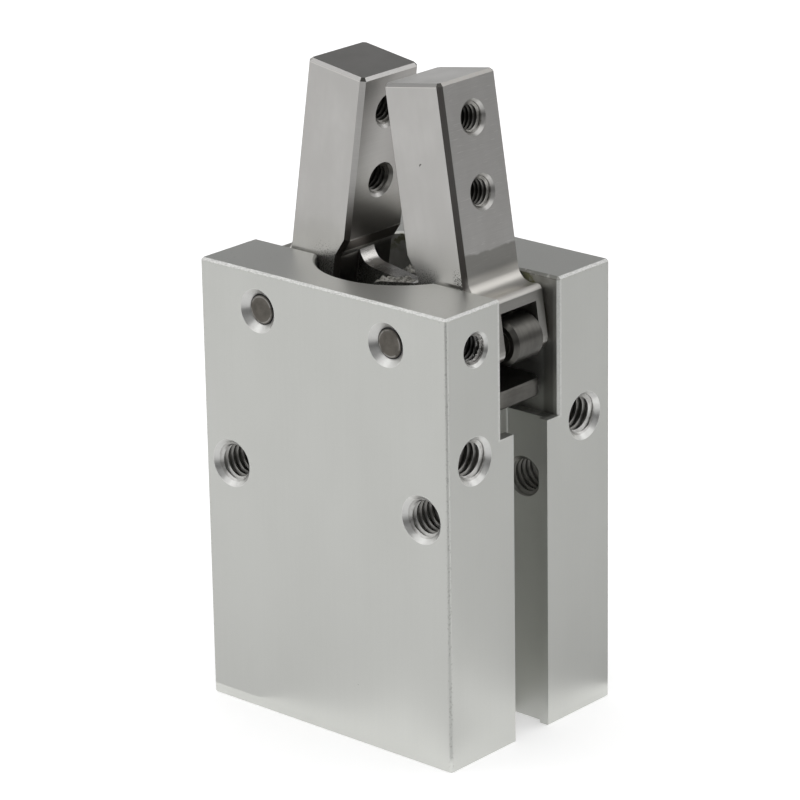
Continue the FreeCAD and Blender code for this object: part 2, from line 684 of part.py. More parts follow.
def make_upper_piston():
    """Ring on the rod, with an arm under each side roller."""
    head = ring(0, PISTON_RADIUS, UPPER_BOTTOM_Z, CROSS_ARM_Z)
    half = CROSS_ARM_WIDTH / 2
    arms = box(-CROSS_ARM_X, CROSS_ARM_X, -half, half, CROSS_ARM_Z, CROSS_ARM_TOP_Z)
    arms = arms.makeFillet(CROSS_ARM_ROUND, upright_edges(arms, CROSS_ARM_X, half))
    rims = edges_at_height(arms, CROSS_ARM_Z) + edges_at_height(arms, CROSS_ARM_TOP_Z)
    arms = arms.makeChamfer(CROSS_ARM_CHAMFER, rims)
    over = CROSS_ARM_TOP_Z + CUT_OVERRUN
    cuts = [
        ring(0, CLEVIS_WELL_RADIUS, CLEVIS_WELL_Z, over),
        ring(0, ROD_RADIUS + PISTON_CLEARANCE, UPPER_BOTTOM_Z - CUT_OVERRUN, over),
        groove_ring(SEAL_DEPTH, UPPER_SEAL_Z, UPPER_SEAL_Z + SEAL_HEIGHT),
        ring(0, ROD_RADIUS + SEAL_DEPTH, UPPER_SEAL_Z, UPPER_SEAL_Z + SEAL_HEIGHT),
    ]
    return head.fuse(arms).cut(cuts)


def make_rod_seal():
    inner = ROD_RADIUS + SEAL_CLEARANCE
    return ring(inner, ROD_RADIUS + SEAL_DEPTH, UPPER_SEAL_Z, UPPER_SEAL_Z + SEAL_HEIGHT)


# End cap

CAP_SEAL_Z = CAP_Z + (CAP_THICKNESS - SEAL_HEIGHT) / 2


def make_end_cap():
    cap = ring(0, PISTON_RADIUS, CAP_Z, CAP_TOP_Z)
    cuts = [
        groove_ring(SEAL_DEPTH, CAP_SEAL_Z, CAP_SEAL_Z + SEAL_HEIGHT),
        ring(0, CAP_RECESS_RADIUS, CAP_Z - CUT_OVERRUN, CAP_Z + CAP_RECESS_DEPTH),
        ring(0, BUMPER_RADIUS, CAP_TOP_Z - BUMPER_SEAT, CAP_TOP_Z + CUT_OVERRUN),
    ]
    return cap.cut(cuts)


def make_bumper():
    return ring(0, BUMPER_RADIUS, CAP_TOP_Z - BUMPER_SEAT, BUMPER_TOP_Z)


def make_retaining_ring():
    """Sprung ring in the bore's groove, open at one side between two eyes."""
    outer = BORE_RADIUS + RING_GROOVE_DEPTH
    inner = outer - RING_SECTION
    z0 = RING_FROM_BASE
    z1 = RING_FROM_BASE + RING_THICKNESS
    clip = ring(inner, outer, z0, z1)
    eye_y = RING_GAP / 2 + RING_EYE_OUTSIDE
    cuts = [box(0, outer + CUT_OVERRUN, -RING_GAP / 2, RING_GAP / 2, z0, z1)]
    eyes = []
    for side in (-1, 1):
        low = point(inner, side * eye_y, z0)
        high = point(inner, side * eye_y, z1)
        eyes.append(bar(low, high, RING_EYE_OUTSIDE))
        cuts.append(bar(low, high, RING_EYE_RADIUS))
    return clip.fuse(eyes).cut(cuts)


def write(name, shape):
    shape.exportStep("parts/" + name + ".step")


os.makedirs("parts", exist_ok=True)

write("body_block", make_body_block())
write("end_cap", make_end_cap())
write("end_cap_seal", outer_seal(CAP_SEAL_Z))
write("bumper", make_bumper())
write("retaining_ring", make_retaining_ring())
write("pivot_pin_right", make_pivot_pin())
write("pivot_pin_left", mirrored(make_pivot_pin()))
write("pivot_set_screws", Part.makeCompound([make_set_screw(), mirrored(make_set_screw())]))

write("lower_piston", make_lower_piston())
write("lower_piston_seal", outer_seal(PISTON_SEAL_Z))
write("magnet_ring", make_magnet_ring())
write("wear_ring", make_wear_ring())
write("piston_rod", make_piston_rod())
write("rod_screw", make_rod_screw())
write("centre_pin", make_centre_pin())

write("upper_piston", make_upper_piston())
write("upper_piston_seal", outer_seal(UPPER_SEAL_Z))
write("rod_seal", make_rod_seal())

write("finger_right", on_right(make_finger(tines())))
write("roller_pin_right", on_right(make_roller_pin()))
write("side_roller_right", on_right(make_side_roller()))
write("finger_left", on_left(make_finger(tongue())))
write("roller_pin_left", on_left(make_roller_pin()))
write("side_roller_left", on_left(make_side_roller()))
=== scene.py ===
import json
import math
from typing import NamedTuple

import bmesh
import bpy
from bpy.props import FloatProperty, FloatVectorProperty, IntProperty, PointerProperty
from mathutils import Matrix, Vector, noise
from mathutils.bvhtree import BVHTree


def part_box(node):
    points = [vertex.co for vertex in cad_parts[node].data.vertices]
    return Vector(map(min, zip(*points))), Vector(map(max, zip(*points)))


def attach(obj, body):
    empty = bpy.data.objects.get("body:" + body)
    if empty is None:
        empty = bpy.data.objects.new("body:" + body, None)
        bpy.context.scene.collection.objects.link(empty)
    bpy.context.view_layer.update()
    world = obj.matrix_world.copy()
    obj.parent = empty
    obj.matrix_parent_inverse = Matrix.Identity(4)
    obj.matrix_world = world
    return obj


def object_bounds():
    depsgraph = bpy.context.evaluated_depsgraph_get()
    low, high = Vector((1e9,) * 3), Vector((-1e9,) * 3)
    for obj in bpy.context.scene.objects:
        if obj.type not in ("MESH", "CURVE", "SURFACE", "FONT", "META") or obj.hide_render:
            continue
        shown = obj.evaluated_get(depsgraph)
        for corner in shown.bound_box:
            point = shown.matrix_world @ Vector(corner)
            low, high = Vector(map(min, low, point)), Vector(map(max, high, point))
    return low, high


bl_info = {
    "name": "Angular gripper finish",
    "version": (1, 0, 0),
    "blender": (4, 5, 0),
    "location": "3D View > Sidebar > Gripper",
    "description": "Finishes, threads and studio for a pneumatic angular gripper",
    "category": "Object",
}

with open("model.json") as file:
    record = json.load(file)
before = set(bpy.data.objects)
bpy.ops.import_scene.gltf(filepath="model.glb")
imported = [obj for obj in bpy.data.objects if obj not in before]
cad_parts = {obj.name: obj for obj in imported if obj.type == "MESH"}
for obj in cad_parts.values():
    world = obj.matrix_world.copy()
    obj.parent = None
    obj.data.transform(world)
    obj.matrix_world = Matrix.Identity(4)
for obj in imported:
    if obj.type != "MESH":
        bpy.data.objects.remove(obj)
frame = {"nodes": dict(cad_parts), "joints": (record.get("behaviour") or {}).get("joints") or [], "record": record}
CAD_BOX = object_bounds()
MOUNTS = {mount["name"]: mount for mount in frame["record"]["mounts"]}
JOINTS = {joint["name"]: joint for joint in frame["joints"]}

MM = 0.001
PER_MM = 1 / MM
X_AXIS = Vector((1, 0, 0))
Y_AXIS = Vector((0, 1, 0))
Z_AXIS = Vector((0, 0, 1))

# Places read from the frame, in millimetres
SIDE_X, FACE_Y, TOP_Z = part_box("body_block")[1] * PER_MM
PIVOT = Vector(JOINTS["finger_right_pivot"]["pos_m"]) * PER_MM
JAW_OUTWARD = Vector(MOUNTS["right_finger_thread_tip"]["axis"])
CLOSED_TILT = math.atan2(JAW_OUTWARD.z, JAW_OUTWARD.x)
SET_SCREW_LOW, SET_SCREW_HIGH = (corner * PER_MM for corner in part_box("pivot_set_screws"))


# Settings

def amount(name, description, default, **kind):
    """A number property, with its unit or subtype where it has one."""
    return FloatProperty(name=name, description=description, default=default, **kind)


def length(name, description, millimetres):
    """A length property, written in millimetres and kept in metres."""
    return amount(name, description, millimetres * MM, unit="LENGTH", precision=6)


def angle(name, description, degrees):
    """An angle property, written in degrees and kept in radians."""
    return amount(name, description, math.radians(degrees), subtype="ANGLE")


def colour(name, description, red, green, blue):
    """A colour property."""
    return FloatVectorProperty(name=name, description=description, default=(red, green, blue),
                               subtype="COLOR", min=0.0, max=1.0)


class GripperSizes(bpy.types.PropertyGroup):
    """Sizes of what is added to the solids."""

    mount_pitch: length("Mount pitch", "Pitch of the body's mounting threads", 0.7)
    mount_sink: length("Mount sink", "Radius of the bevelled mouth of a mounting thread", 2.4)
    front_depth: length("Front depth", "Depth of the front and back threads, as far as the side grooves", 8.8)
    side_depth: length("Side depth", "Depth of the threads in the right face", 6.0)
    base_depth: length("Base depth", "Depth of the threads in the base", 7.0)
    port_pitch: length("Port pitch", "Pitch of the air ports", 0.8)
    port_sink: length("Port sink", "Radius of the bevelled mouth of an air port", 2.8)
    port_depth: length("Port depth", "Depth of an air port", 4.5)
    small_pitch: length("Small pitch", "Pitch of the finger and set screw threads", 0.5)
    finger_sink: length("Finger sink", "Radius of the bevelled mouth of a finger thread", 1.78)
    jaw_depth: length("Jaw depth", "Thickness of a jaw, which its threads pass through", 7.1)
    set_screw_sink: length("Set screw sink", "Radius of the bevelled mouth of a set screw hole", 1.77)
    pivot_sink: length("Pivot sink", "Radius of the bevelled mouth of a pivot pin hole", 2.17)
    pivot_pin: length("Pivot pin", "Radius of a pivot pin", 1.5)
    pocket_floor: length("Pocket floor", "Height of the floor of the finger slot", 31.05)
    slot_side: length("Slot side", "Half the width of the finger slot", 4.15)
    mouth_radius: length("Mouth radius", "Radius of the round mouth", 8.4)
    skin: length("Skin", "How far a cut metal skin stands proud of the solid under it", 0.03)
    columns: IntProperty(name="Columns", description="Steps round a thread", default=48, min=12)


class GripperColours(bpy.types.PropertyGroup):
    """Colours of the finishes."""

    body_light: colour("Body, light", "Light tone of the anodised body", 0.677, 0.683, 0.655)
    body_dark: colour("Body, dark", "Dark tone of the anodised body", 0.652, 0.658, 0.63)
    body_edge_and_top_highlight: colour("Body edge", "Bare metal where the body's edges are broken", 0.88, 0.88, 0.86)
    body_speck: colour("Body speck", "Specks along the body's corners", 0.22, 0.22, 0.20)
    oil_and_shade: colour("Oily metal", "Oil film on metal inside the body", 0.21, 0.205, 0.185)
    grease: colour("Grease", "Old grease at the back of the finger slot", 0.20, 0.20, 0.10)
    smear: colour("Smear", "Grey grease on the fingers' inner arms", 0.40, 0.39, 0.355)
    smear_dark: colour("Smear, dark", "Worn metal caught in the grease", 0.13, 0.125, 0.11)
    cut_light: colour("Cut metal, light", "Crests of cut aluminium", 0.82, 0.82, 0.8)
    cut_dark: colour("Cut metal, dark", "Roots of cut aluminium", 0.46, 0.45, 0.43)
    cut_deep_shade: colour("Cut metal, deep", "Oily shade deep in a thread", 0.28, 0.274, 0.255)
    thread_lock: colour("Thread lock", "Dried thread lock in the set screw holes", 0.86, 0.85, 0.82)
    finger_light: colour("Finger, light", "Light tone of the ground fingers", 0.63, 0.62, 0.603)
    finger_dark: colour("Finger, dark", "Dark tone of the ground fingers", 0.555, 0.545, 0.528)
    finger_foot_and_highlight: colour("Finger foot", "Clean milled steel of a finger's foot", 0.70, 0.68, 0.64)
    finger_neck_highlight: colour("Finger neck", "Clean fillet where an inner arm joins its jaw", 0.70, 0.685, 0.66)
    finger_polish_and_highlight: colour("Finger polish", "Jaw faces rubbed bright by gripping", 0.74, 0.72, 0.69)
    finger_film_and_shade: colour("Finger film", "Brown oil film on the inner faces of the jaws", 0.15, 0.13, 0.115)
    finger_scratch: colour("Finger scratch", "Fine bright scratches and rubbed edges", 0.74, 0.73, 0.71)
    finger_tip_shade: colour("Finger tip", "Filed edge at the front of a finger's tip", 0.46, 0.452, 0.44)
    finger_cut_light: colour("Finger cut, light", "Crests of the finger threads", 0.52, 0.51, 0.485)
    finger_cut_dark: colour("Finger cut, dark", "Roots of the finger threads", 0.14, 0.134, 0.122)
    finger_speck_and_shade: colour("Finger speck", "Oily specks on the foot of a finger", 0.05, 0.048, 0.042)
    pin_light: colour("Pin, light", "Light tone of the pins", 0.16, 0.148, 0.13)
    pin_dark: colour("Pin, dark", "Dark tone of the pins", 0.112, 0.104, 0.092)
    roller_light: colour("Roller, light", "Light tone of the rollers", 0.155, 0.151, 0.139)
    roller_dark: colour("Roller, dark", "Dark tone of the rollers", 0.122, 0.119, 0.11)
    piston_light: colour("Piston, light", "Light tone of the hard anodised pistons", 0.155, 0.151, 0.139)
    piston_dark: colour("Piston, dark", "Dark tone of the hard anodised pistons", 0.122, 0.118, 0.108)
    screw_light: colour("Screw, light", "Rubbed tone of the blackened screws", 0.10, 0.095, 0.09)
    screw_dark_and_shade: colour("Screw, dark", "Blackened screws", 0.03, 0.03, 0.032)
    rubber: colour("Rubber", "Seals and bumper", 0.022, 0.022, 0.023)
    rubber_bloom: colour("Rubber bloom", "Pale bloom on the seals", 0.05, 0.05, 0.05)
    magnet: colour("Magnet", "Bonded magnet", 0.06, 0.055, 0.053)
    magnet_grain: colour("Magnet grain", "Metal grains in the magnet", 0.22, 0.21, 0.20)
    plastic: colour("Wear ring", "Wear ring", 0.66, 0.62, 0.51)
    plastic_shade: colour("Wear ring shade", "Turned lines of the wear ring", 0.50, 0.46, 0.37)


class GripperStage(bpy.types.PropertyGroup):
    """Camera and studio."""

    azimuth: angle("Azimuth", "Camera's turn round the part", 41.5799)
    elevation: angle("Elevation", "Camera's height above the horizon", 19.4205)
    roll: angle("Roll", "Camera's turn about its own axis", -0.9745)
    eye: FloatVectorProperty(name="Eye", description="Camera's place",
                             default=(0.2362048, -0.2671623, 0.1561203), subtype="TRANSLATION")
    lens: amount("Lens", "Focal length for a 36 mm sensor", 178.5438, unit="CAMERA")
    room_light: amount("Room light", "Level of the light from all round", 0.85)
    floor_white: amount("Floor white", "Light added to the floor as it is seen", 0.41)
    key_power: amount("Key power", "Power of the lamp at the front left", 0.5, unit="POWER")
    back_power: amount("Back power", "Power of the lamp behind", 0.48, unit="POWER")
    floor_tone: colour("Floor", "Pale floor", 0.80, 0.80, 0.80)


# Finishes

# Share of places left without a dot, and share of a dot's radius over which it fades
DOT_FREE, DOT_SOFT = 0.55, 0.3


class Finish:
    """One procedural material. Its coordinates are the piece's own, in millimetres."""

    def __init__(self, name, metallic):
        self.material = bpy.data.materials.new(name)
        self.material.use_nodes = True
        self.tree = self.material.node_tree
        self.shader = self.tree.nodes["Principled BSDF"]
        self.shader.inputs["Metallic"].default_value = metallic
        source = self.tree.nodes.new("ShaderNodeTexCoord")
        self.place = self.vector("SCALE", source.outputs["Object"], PER_MM)
        self.x, self.y, self.z = self.split(self.place)
        self.facing = source.outputs["Normal"]

    def put(self, socket, value):
        if isinstance(value, bpy.types.NodeSocket):
            self.tree.links.new(value, socket)
        else:
            socket.default_value = value

    def vector(self, operation, first, second):
        node = self.tree.nodes.new("ShaderNodeVectorMath")
        node.operation = operation
        self.put(node.inputs[0], first)
        self.put(node.inputs["Scale"] if operation == "SCALE" else node.inputs[1], second)
        return node.outputs[0]

    def split(self, vector):
        node = self.tree.nodes.new("ShaderNodeSeparateXYZ")
        self.put(node.inputs[0], vector)
        return node.outputs[0], node.outputs[1], node.outputs[2]

    def join(self, x, y, z):
        node = self.tree.nodes.new("ShaderNodeCombineXYZ")
        for socket, value in zip(node.inputs, (x, y, z)):
            self.put(socket, value)
        return node.outputs[0]

    def turn(self, vector, centre, angle):
        """Turn a vector about a line along Y."""
        node = self.tree.nodes.new("ShaderNodeVectorRotate")
        node.rotation_type = "Y_AXIS"
        node.inputs["Center"].default_value = centre
        node.inputs["Angle"].default_value = angle
        self.put(node.inputs["Vector"], vector)
        return node.outputs[0]

    def math(self, operation, first, second=0.0):
        node = self.tree.nodes.new("ShaderNodeMath")
        node.operation = operation
        self.put(node.inputs[0], first)
        self.put(node.inputs[1], second)
        return node.outputs[0]

    def size(self, value):
        return self.math("ABSOLUTE", value)

    def less(self, first, second):
        return self.math("SUBTRACT", first, second)

    def chain(self, operation, values):
        result = values[0]
        for value in values[1:]:
            result = self.math(operation, result, value)
        return result

    def times(self, *values):
        return self.chain("MULTIPLY", values)

    def plus(self, *values):
        return self.chain("ADD", values)

    def most(self, *values):
        return self.chain("MAXIMUM", values)

    def reach(self, first, second):
        """Distance from zero in a plane."""
        return self.math("SQRT", self.plus(self.times(first, first), self.times(second, second)))

    def from_to(self, value, low, high):
        """0 at low, 1 at high, smooth between; low may be the larger."""
        node = self.tree.nodes.new("ShaderNodeMapRange")
        node.interpolation_type = "SMOOTHSTEP"
        self.put(node.inputs["Value"], value)
        if low < high:
            ends = (low, high, 0.0, 1.0)
        else:
            ends = (high, low, 1.0, 0.0)
        for name, end in zip(("From Min", "From Max", "To Min", "To Max"), ends):
            node.inputs[name].default_value = end
        return node.outputs[0]

    def near(self, value, centre, half):
        """1 at the centre, 0 from half on."""
        return self.from_to(self.size(self.less(value, centre)), half, half / 2)

    def attribute(self, name):
        node = self.tree.nodes.new("ShaderNodeAttribute")
        node.attribute_name = name
        return node.outputs["Fac"]

    def noise(self, stretch, detail=2.0, place=None):
        """Noise from 0 to 1, with this many features to the millimetre, all ways or along each axis."""
        if isinstance(stretch, float):
            stretch = (stretch, stretch, stretch)
        node = self.tree.nodes.new("ShaderNodeTexNoise")
        node.inputs["Scale"].default_value = 1.0
        node.inputs["Detail"].default_value = detail
        self.put(node.inputs["Vector"], self.vector("MULTIPLY", place or self.place, stretch))
        return node.outputs["Fac"]

    def dots(self, per_mm, radius):
        """Sparse round dots of up to this radius in millimetres."""
        node = self.tree.nodes.new("ShaderNodeTexVoronoi")
        node.inputs["Scale"].default_value = per_mm
        self.put(node.inputs["Vector"], self.place)
        chance = self.split(node.outputs["Color"])[0]
        reach = self.times(self.from_to(chance, DOT_FREE, 1.0), radius * per_mm)
        return self.from_to(self.less(node.outputs["Distance"], reach), 0.0, -DOT_SOFT * radius * per_mm)

    def mix(self, factor, first, second):
        """Between two colours."""
        node = self.tree.nodes.new("ShaderNodeMix")
        node.data_type = "RGBA"
        self.put(node.inputs["Factor"], factor)
        sockets = [socket for socket in node.inputs if socket.type == "RGBA"]
        for socket, value in zip(sockets, (first, second)):
            self.put(socket, value if isinstance(value, bpy.types.NodeSocket) else (*value, 1.0))
        return [socket for socket in node.outputs if socket.type == "RGBA"][0]

    def between(self, factor, first, second):
        """Between two numbers."""
        return self.math("ADD", self.times(factor, second - first), first)

    def colour(self, factor, first, second):
        """Colour the surface, between two colours."""
        self.shade = self.mix(factor, first, second)
        self.put(self.shader.inputs["Base Color"], self.shade)

    def paint(self, factor, colour):
        """Lay one more colour over the surface."""
        self.colour(factor, self.shade, colour)

    def roughness(self, value):
        self.put(self.shader.inputs["Roughness"], value)

    def bump(self, height, depth):
        """Raise the surface by up to depth millimetres."""
        node = self.tree.nodes.new("ShaderNodeBump")
        node.inputs["Strength"].default_value = 1.0
        node.inputs["Distance"].default_value = depth * MM
        self.put(node.inputs["Height"], height)
        old = self.shader.inputs["Normal"]
        if old.is_linked:
            self.put(node.inputs["Normal"], old.links[0].from_socket)
        self.put(old, node.outputs[0])


def dress(finish, *names):
    """Give CAD nodes a finish."""
    for name in names:
        for slot in frame["nodes"][name].material_slots:
            slot.link = "OBJECT"
            slot.material = finish.material


def smooth_mesh(name, mesh):
    """Mesh data from a bmesh, which is then freed."""
    data = bpy.data.meshes.new(name)
    mesh.to_mesh(data)
    mesh.free()
    data.shade_smooth()
    return data


def add_object(name, data, material):
    """New object of one material, linked to the scene."""
    data.materials.append(material)
    piece = bpy.data.objects.new(name, data)
    bpy.context.scene.collection.objects.link(piece)
    return piece


# The body's marks, painted shade and painted highlight, in millimetres in from its outside, down or across: a pair
# is where one starts and is full
EDGE_IN, SLOT_EDGE_IN, CORNER_IN = (0.16, 0.11), (0.3, 0.2), (0.5, 0.15)
TOP_DOWN, UNDER_EDGE_DOWN = (0.2, 0.1), (0.8, 0.35)
INSIDE_DOWN, OIL_DOWN = (0.05, 0.2), (7.0, 3.0)
BACK_WALL_Y = 2.0, 3.5
SETTLED_DOWN, SETTLED_ACROSS = (2.4, 0.6), (12.8, 11.6)
LIP_DOWN, LIP_ACROSS = (0.35, 0.25), (10.5, 11.5)
FORK_DOWN, FORK_ACROSS, FORK_BAND = (0.8, 1.6), 14.1, 0.8
# Grease wiped round the pivot on the back wall: its reach, how it spreads downward, its band and its foot
GREASE_REACH, GREASE_SPREAD, GREASE_BAND, GREASE_Z = 4.85, 0.2, 0.5, (37.0, 40.0)


def body_finish(colours, sizes):
    """Blasted and clear anodised aluminium: faint drawn lines, broken bright edges, an oil-filmed inside darkened
    with painted shade, and top faces with a painted highlight.
    """
    f = Finish("satin_anodised_aluminium", 1.0)
    across = f.size(f.x)
    aside = f.size(f.y)
    to_side = f.less(SIDE_X, across)
    to_face = f.less(FACE_Y, aside)
    to_top = f.less(TOP_Z, f.z)
    pocket_floor = sizes.pocket_floor * PER_MM
    slot_side = sizes.slot_side * PER_MM
    mouth_radius = sizes.mouth_radius * PER_MM

    drawn = f.noise((3.0, 3.0, 0.05), 3.0)
    cloud = f.noise((0.13, 0.13, 0.07))
    grain = f.noise(14.0)
    tone = f.from_to(f.plus(f.times(drawn, 0.12), f.times(cloud, 0.48), f.times(grain, 0.4)), 0.3, 0.7)
    f.colour(tone, colours.body_dark, colours.body_light)

    ragged = f.times(f.noise(3.6, 3.0), 0.24)
    outside = f.math("MINIMUM", to_side, to_face)
    top_edge = f.times(f.from_to(f.less(outside, ragged), *EDGE_IN),
                       f.from_to(f.less(to_top, ragged), *EDGE_IN))
    slot_edge = f.times(f.near(aside, slot_side + 0.2, 0.36), f.from_to(to_side, *SLOT_EDGE_IN),
                        f.from_to(f.z, pocket_floor - 0.3, pocket_floor), 0.6)
    crumbled = f.noise(4.6)
    broken = f.times(f.most(top_edge, slot_edge), f.between(f.from_to(crumbled, 0.38, 0.6), 0.5, 1.0))
    f.paint(broken, colours.body_edge_and_top_highlight)

    at_corner = f.times(f.from_to(to_side, *CORNER_IN), f.from_to(to_face, *CORNER_IN))
    corner_marks = f.times(at_corner, f.from_to(f.noise((5.0, 5.0, 4.0), 3.0), 0.54, 0.66))
    edge_marks = f.times(f.from_to(to_top, *UNDER_EDGE_DOWN), f.from_to(f.noise((2.5, 2.5, 5.0)), 0.66, 0.74))
    marks = f.most(f.times(f.most(corner_marks, edge_marks), 0.28), f.times(f.dots(0.22, 0.12), 0.4))
    f.paint(marks, colours.body_speck)
    # Top faces are smoother, and are painted lighter with the bare edge colour: a painted highlight.
    on_top = f.times(f.from_to(f.split(f.facing)[2], 0.9, 0.98), f.from_to(to_top, *TOP_DOWN))
    f.paint(f.times(on_top, 0.3), colours.body_edge_and_top_highlight)

    in_mouth = f.from_to(f.reach(f.x, f.y), mouth_radius + 0.06, mouth_radius + 0.02)
    in_slot = f.times(f.from_to(aside, slot_side + 0.03, slot_side + 0.01), f.from_to(to_side, 0.02, 0.06))
    inside = f.times(f.most(in_mouth, in_slot), f.from_to(f.z, pocket_floor - 0.02, pocket_floor),
                     f.from_to(to_top, *INSIDE_DOWN))
    # Patchy oil film that darkens every surface inside the slot and mouth: partly oil, partly painted shade.
    film = f.from_to(f.noise((0.5, 0.5, 0.35), 4.0), 0.28, 0.62)
    oiled_and_shaded = f.times(f.between(film, 0.1, 0.45), f.between(f.from_to(to_top, *OIL_DOWN), 0.3, 1.0))
    f.paint(f.times(inside, oiled_and_shaded), colours.oil_and_shade)

    patches = f.noise(1.4, 3.0)
    on_back_wall = f.times(inside, f.from_to(f.y, *BACK_WALL_Y))
    from_pivot = f.reach(f.less(across, PIVOT.x), f.less(f.z, PIVOT.z))
    wiped = f.less(from_pivot, f.plus(GREASE_REACH, f.times(to_top, GREASE_SPREAD)))
    wiped = f.times(f.near(wiped, 0.0, GREASE_BAND), f.from_to(f.z, *GREASE_Z), f.from_to(patches, 0.36, 0.5))
    settled = f.times(f.from_to(to_top, *SETTLED_DOWN), f.from_to(across, *SETTLED_ACROSS),
                      f.from_to(patches, 0.46, 0.6))
    f.paint(f.times(on_back_wall, f.most(wiped, settled), 0.8), colours.grease)
    grimy_lip = f.times(f.near(f.y, slot_side + 0.1, 0.3), f.from_to(to_top, *LIP_DOWN),
                        f.from_to(across, *LIP_ACROSS), f.from_to(patches, 0.34, 0.48))
    # Beside the fork the back wall is darkened: painted shade, with some grime.
    fork_shade_and_grime = f.times(on_back_wall, f.near(across, FORK_ACROSS, FORK_BAND), f.from_to(to_top, *FORK_DOWN))
    f.paint(f.times(f.most(grimy_lip, fork_shade_and_grime), 0.6), colours.oil_and_shade)

    smoother = f.less(f.times(on_top, 0.07), f.times(inside, 0.04))
    f.roughness(f.less(f.between(tone, 0.5, 0.44), smoother))
    f.bump(grain, 0.004)
    f.bump(drawn, 0.0004)
    f.bump(f.less(1.0, marks), 0.01)
    f.bump(f.times(top_edge, crumbled), 0.06)
    return f


def cut_finish(name, sink, light, dark, deep, flakes=None):
    """Cut metal of sinks and threads: turned lines, dark roots, oil and painted shade deeper in, dried flakes
    where given.
    """
    f = Finish(name, 1.0)
    depth = f.attribute("cut_depth")
    root = f.attribute("root")
    lines = f.noise((1.0, 1.0, 22.0), 2.0, f.join(0.0, 0.0, depth))
    smear = f.noise(2.0)
    tone = f.plus(f.times(lines, 0.6), f.times(smear, 0.4))
    f.colour(f.from_to(tone, 0.3, 0.6), dark, light)
    f.paint(f.times(root, 0.5), dark)
    # Darker deeper in the hole: painted shade, with oil.
    f.paint(f.times(f.from_to(depth, 0.1, 1.5), 0.8), deep)
    f.paint(f.times(f.from_to(depth, 0.02, -0.04), f.between(smear, 0.7, 1.0)), sink)
    if flakes:
        crumbs = f.times(f.from_to(f.noise(4.5, 3.0), 0.56, 0.62), f.from_to(depth, 0.0, 0.1),
                         f.from_to(depth, 1.2, 0.6))
        f.paint(crumbs, flakes)
        f.bump(crumbs, 0.05)
        f.put(f.shader.inputs["Metallic"], f.less(1.0, crumbs))
    f.roughness(f.between(smear, 0.3, 0.42))
    f.bump(lines, 0.004)
    return f


# A finger's marks, painted shade and painted highlights, in millimetres up, outward or aside from the pivot: a
# pair is where one starts and is full
POLISH_UP, POLISH_ASIDE = (8.5, 11.0), (3.0, -2.0)
FILM_UP, FILM_ASIDE = (13.5, 7.5), (-2.0, 2.0)
INNER_EDGE_UP, OUTER_EDGE_UP = (12.0, 7.0), (15.0, 5.0)
OIL_UP, OIL_WAVE = (6.42, 6.18), 1.6
HEEL_UP, HEEL_LINE = 6.355, 0.11
FOOT_SHADE_UP = 4.5, 4.1
TIP_UP, TIP_RIM = (22.2, 22.3), 0.1
FOOT_UP, FOOT_END_UP, FOOT_OUT = (2.1, 2.35), (4.6, 3.8), (3.3, 3.7)
LEDGE_OUT = 5.3, 5.6
ARM_OUT, ARM_UP, NECK_OUT = (-2.5, -2.8), (5.1, 4.9), (-4.6, -4.2)
FUZZ_UP, SPECK_UP, SPECK_OUT = (5.6, 3.8), (6.0, 5.0), (1.2, -1.2)
SEAM_ABOVE_TOP, SEAM_BAND, SEAM_OUT = 0.06, 0.2, (0.8, 2.0)
CRUMB_UP, CRUMB_END_UP = (2.6, 3.0), (5.8, 4.8)
CRUMB_OUT, CRUMB_END_OUT = (2.0, 2.6), (3.4, 3.1)
GRAIN_UP, GRAIN_OUT = (5.4, 4.6), (0.0, -1.5)
# One pit in the right finger's front: its place, its half length and width, its slant and how much it curves
PIT_OUT, PIT_UP, PIT_LONG, PIT_WIDE = -0.05, 15.04, 0.24, 0.1
PIT_SLANT, PIT_CURVE = math.radians(40), 1.6


class FingerPlace:
    """Where a point of a finger set upright lies, in millimetres from the pivot, and the way it faces."""

    def __init__(self, f, side):
        pivot = Vector((side * PIVOT.x, 0, PIVOT.z))
        self.upright = f.turn(f.place, pivot, side * CLOSED_TILT)
        right, self.aside, self.up = f.split(f.vector("SUBTRACT", self.upright, pivot))
        self.out = f.times(right, side)
        self.normal = f.split(f.turn(f.facing, (0, 0, 0), side * CLOSED_TILT))
        self.outward = f.times(self.normal[0], side)
        self.on_side = f.from_to(f.size(self.normal[1]), 0.8, 0.95)
        self.on_front = f.from_to(self.normal[1], -0.8, -0.95)
        self.on_inside = f.from_to(self.outward, -0.8, -0.88)
        self.on_outside = f.from_to(self.outward, 0.9, 0.98)
        self.at_tip = f.from_to(self.up, *TIP_UP)


def oil_outside(f, at, colours, cloud):
    """Fine scratches on a jaw's outer face, and oil washed up it from the foot."""
    scratch = f.from_to(f.noise((0.7, 0.6, 7.0), 1.0, at.upright), 0.66, 0.74)
    f.paint(f.times(scratch, at.on_outside, 0.6), colours.finger_scratch)
    washed = f.plus(at.up, f.times(f.less(f.noise((0.1, 0.3, 0.3), 3.0), 0.5), OIL_WAVE))
    oil = f.times(f.from_to(washed, *OIL_UP), at.on_outside)
    f.paint(f.times(oil, f.between(cloud, 0.45, 0.75)), colours.oil_and_shade)


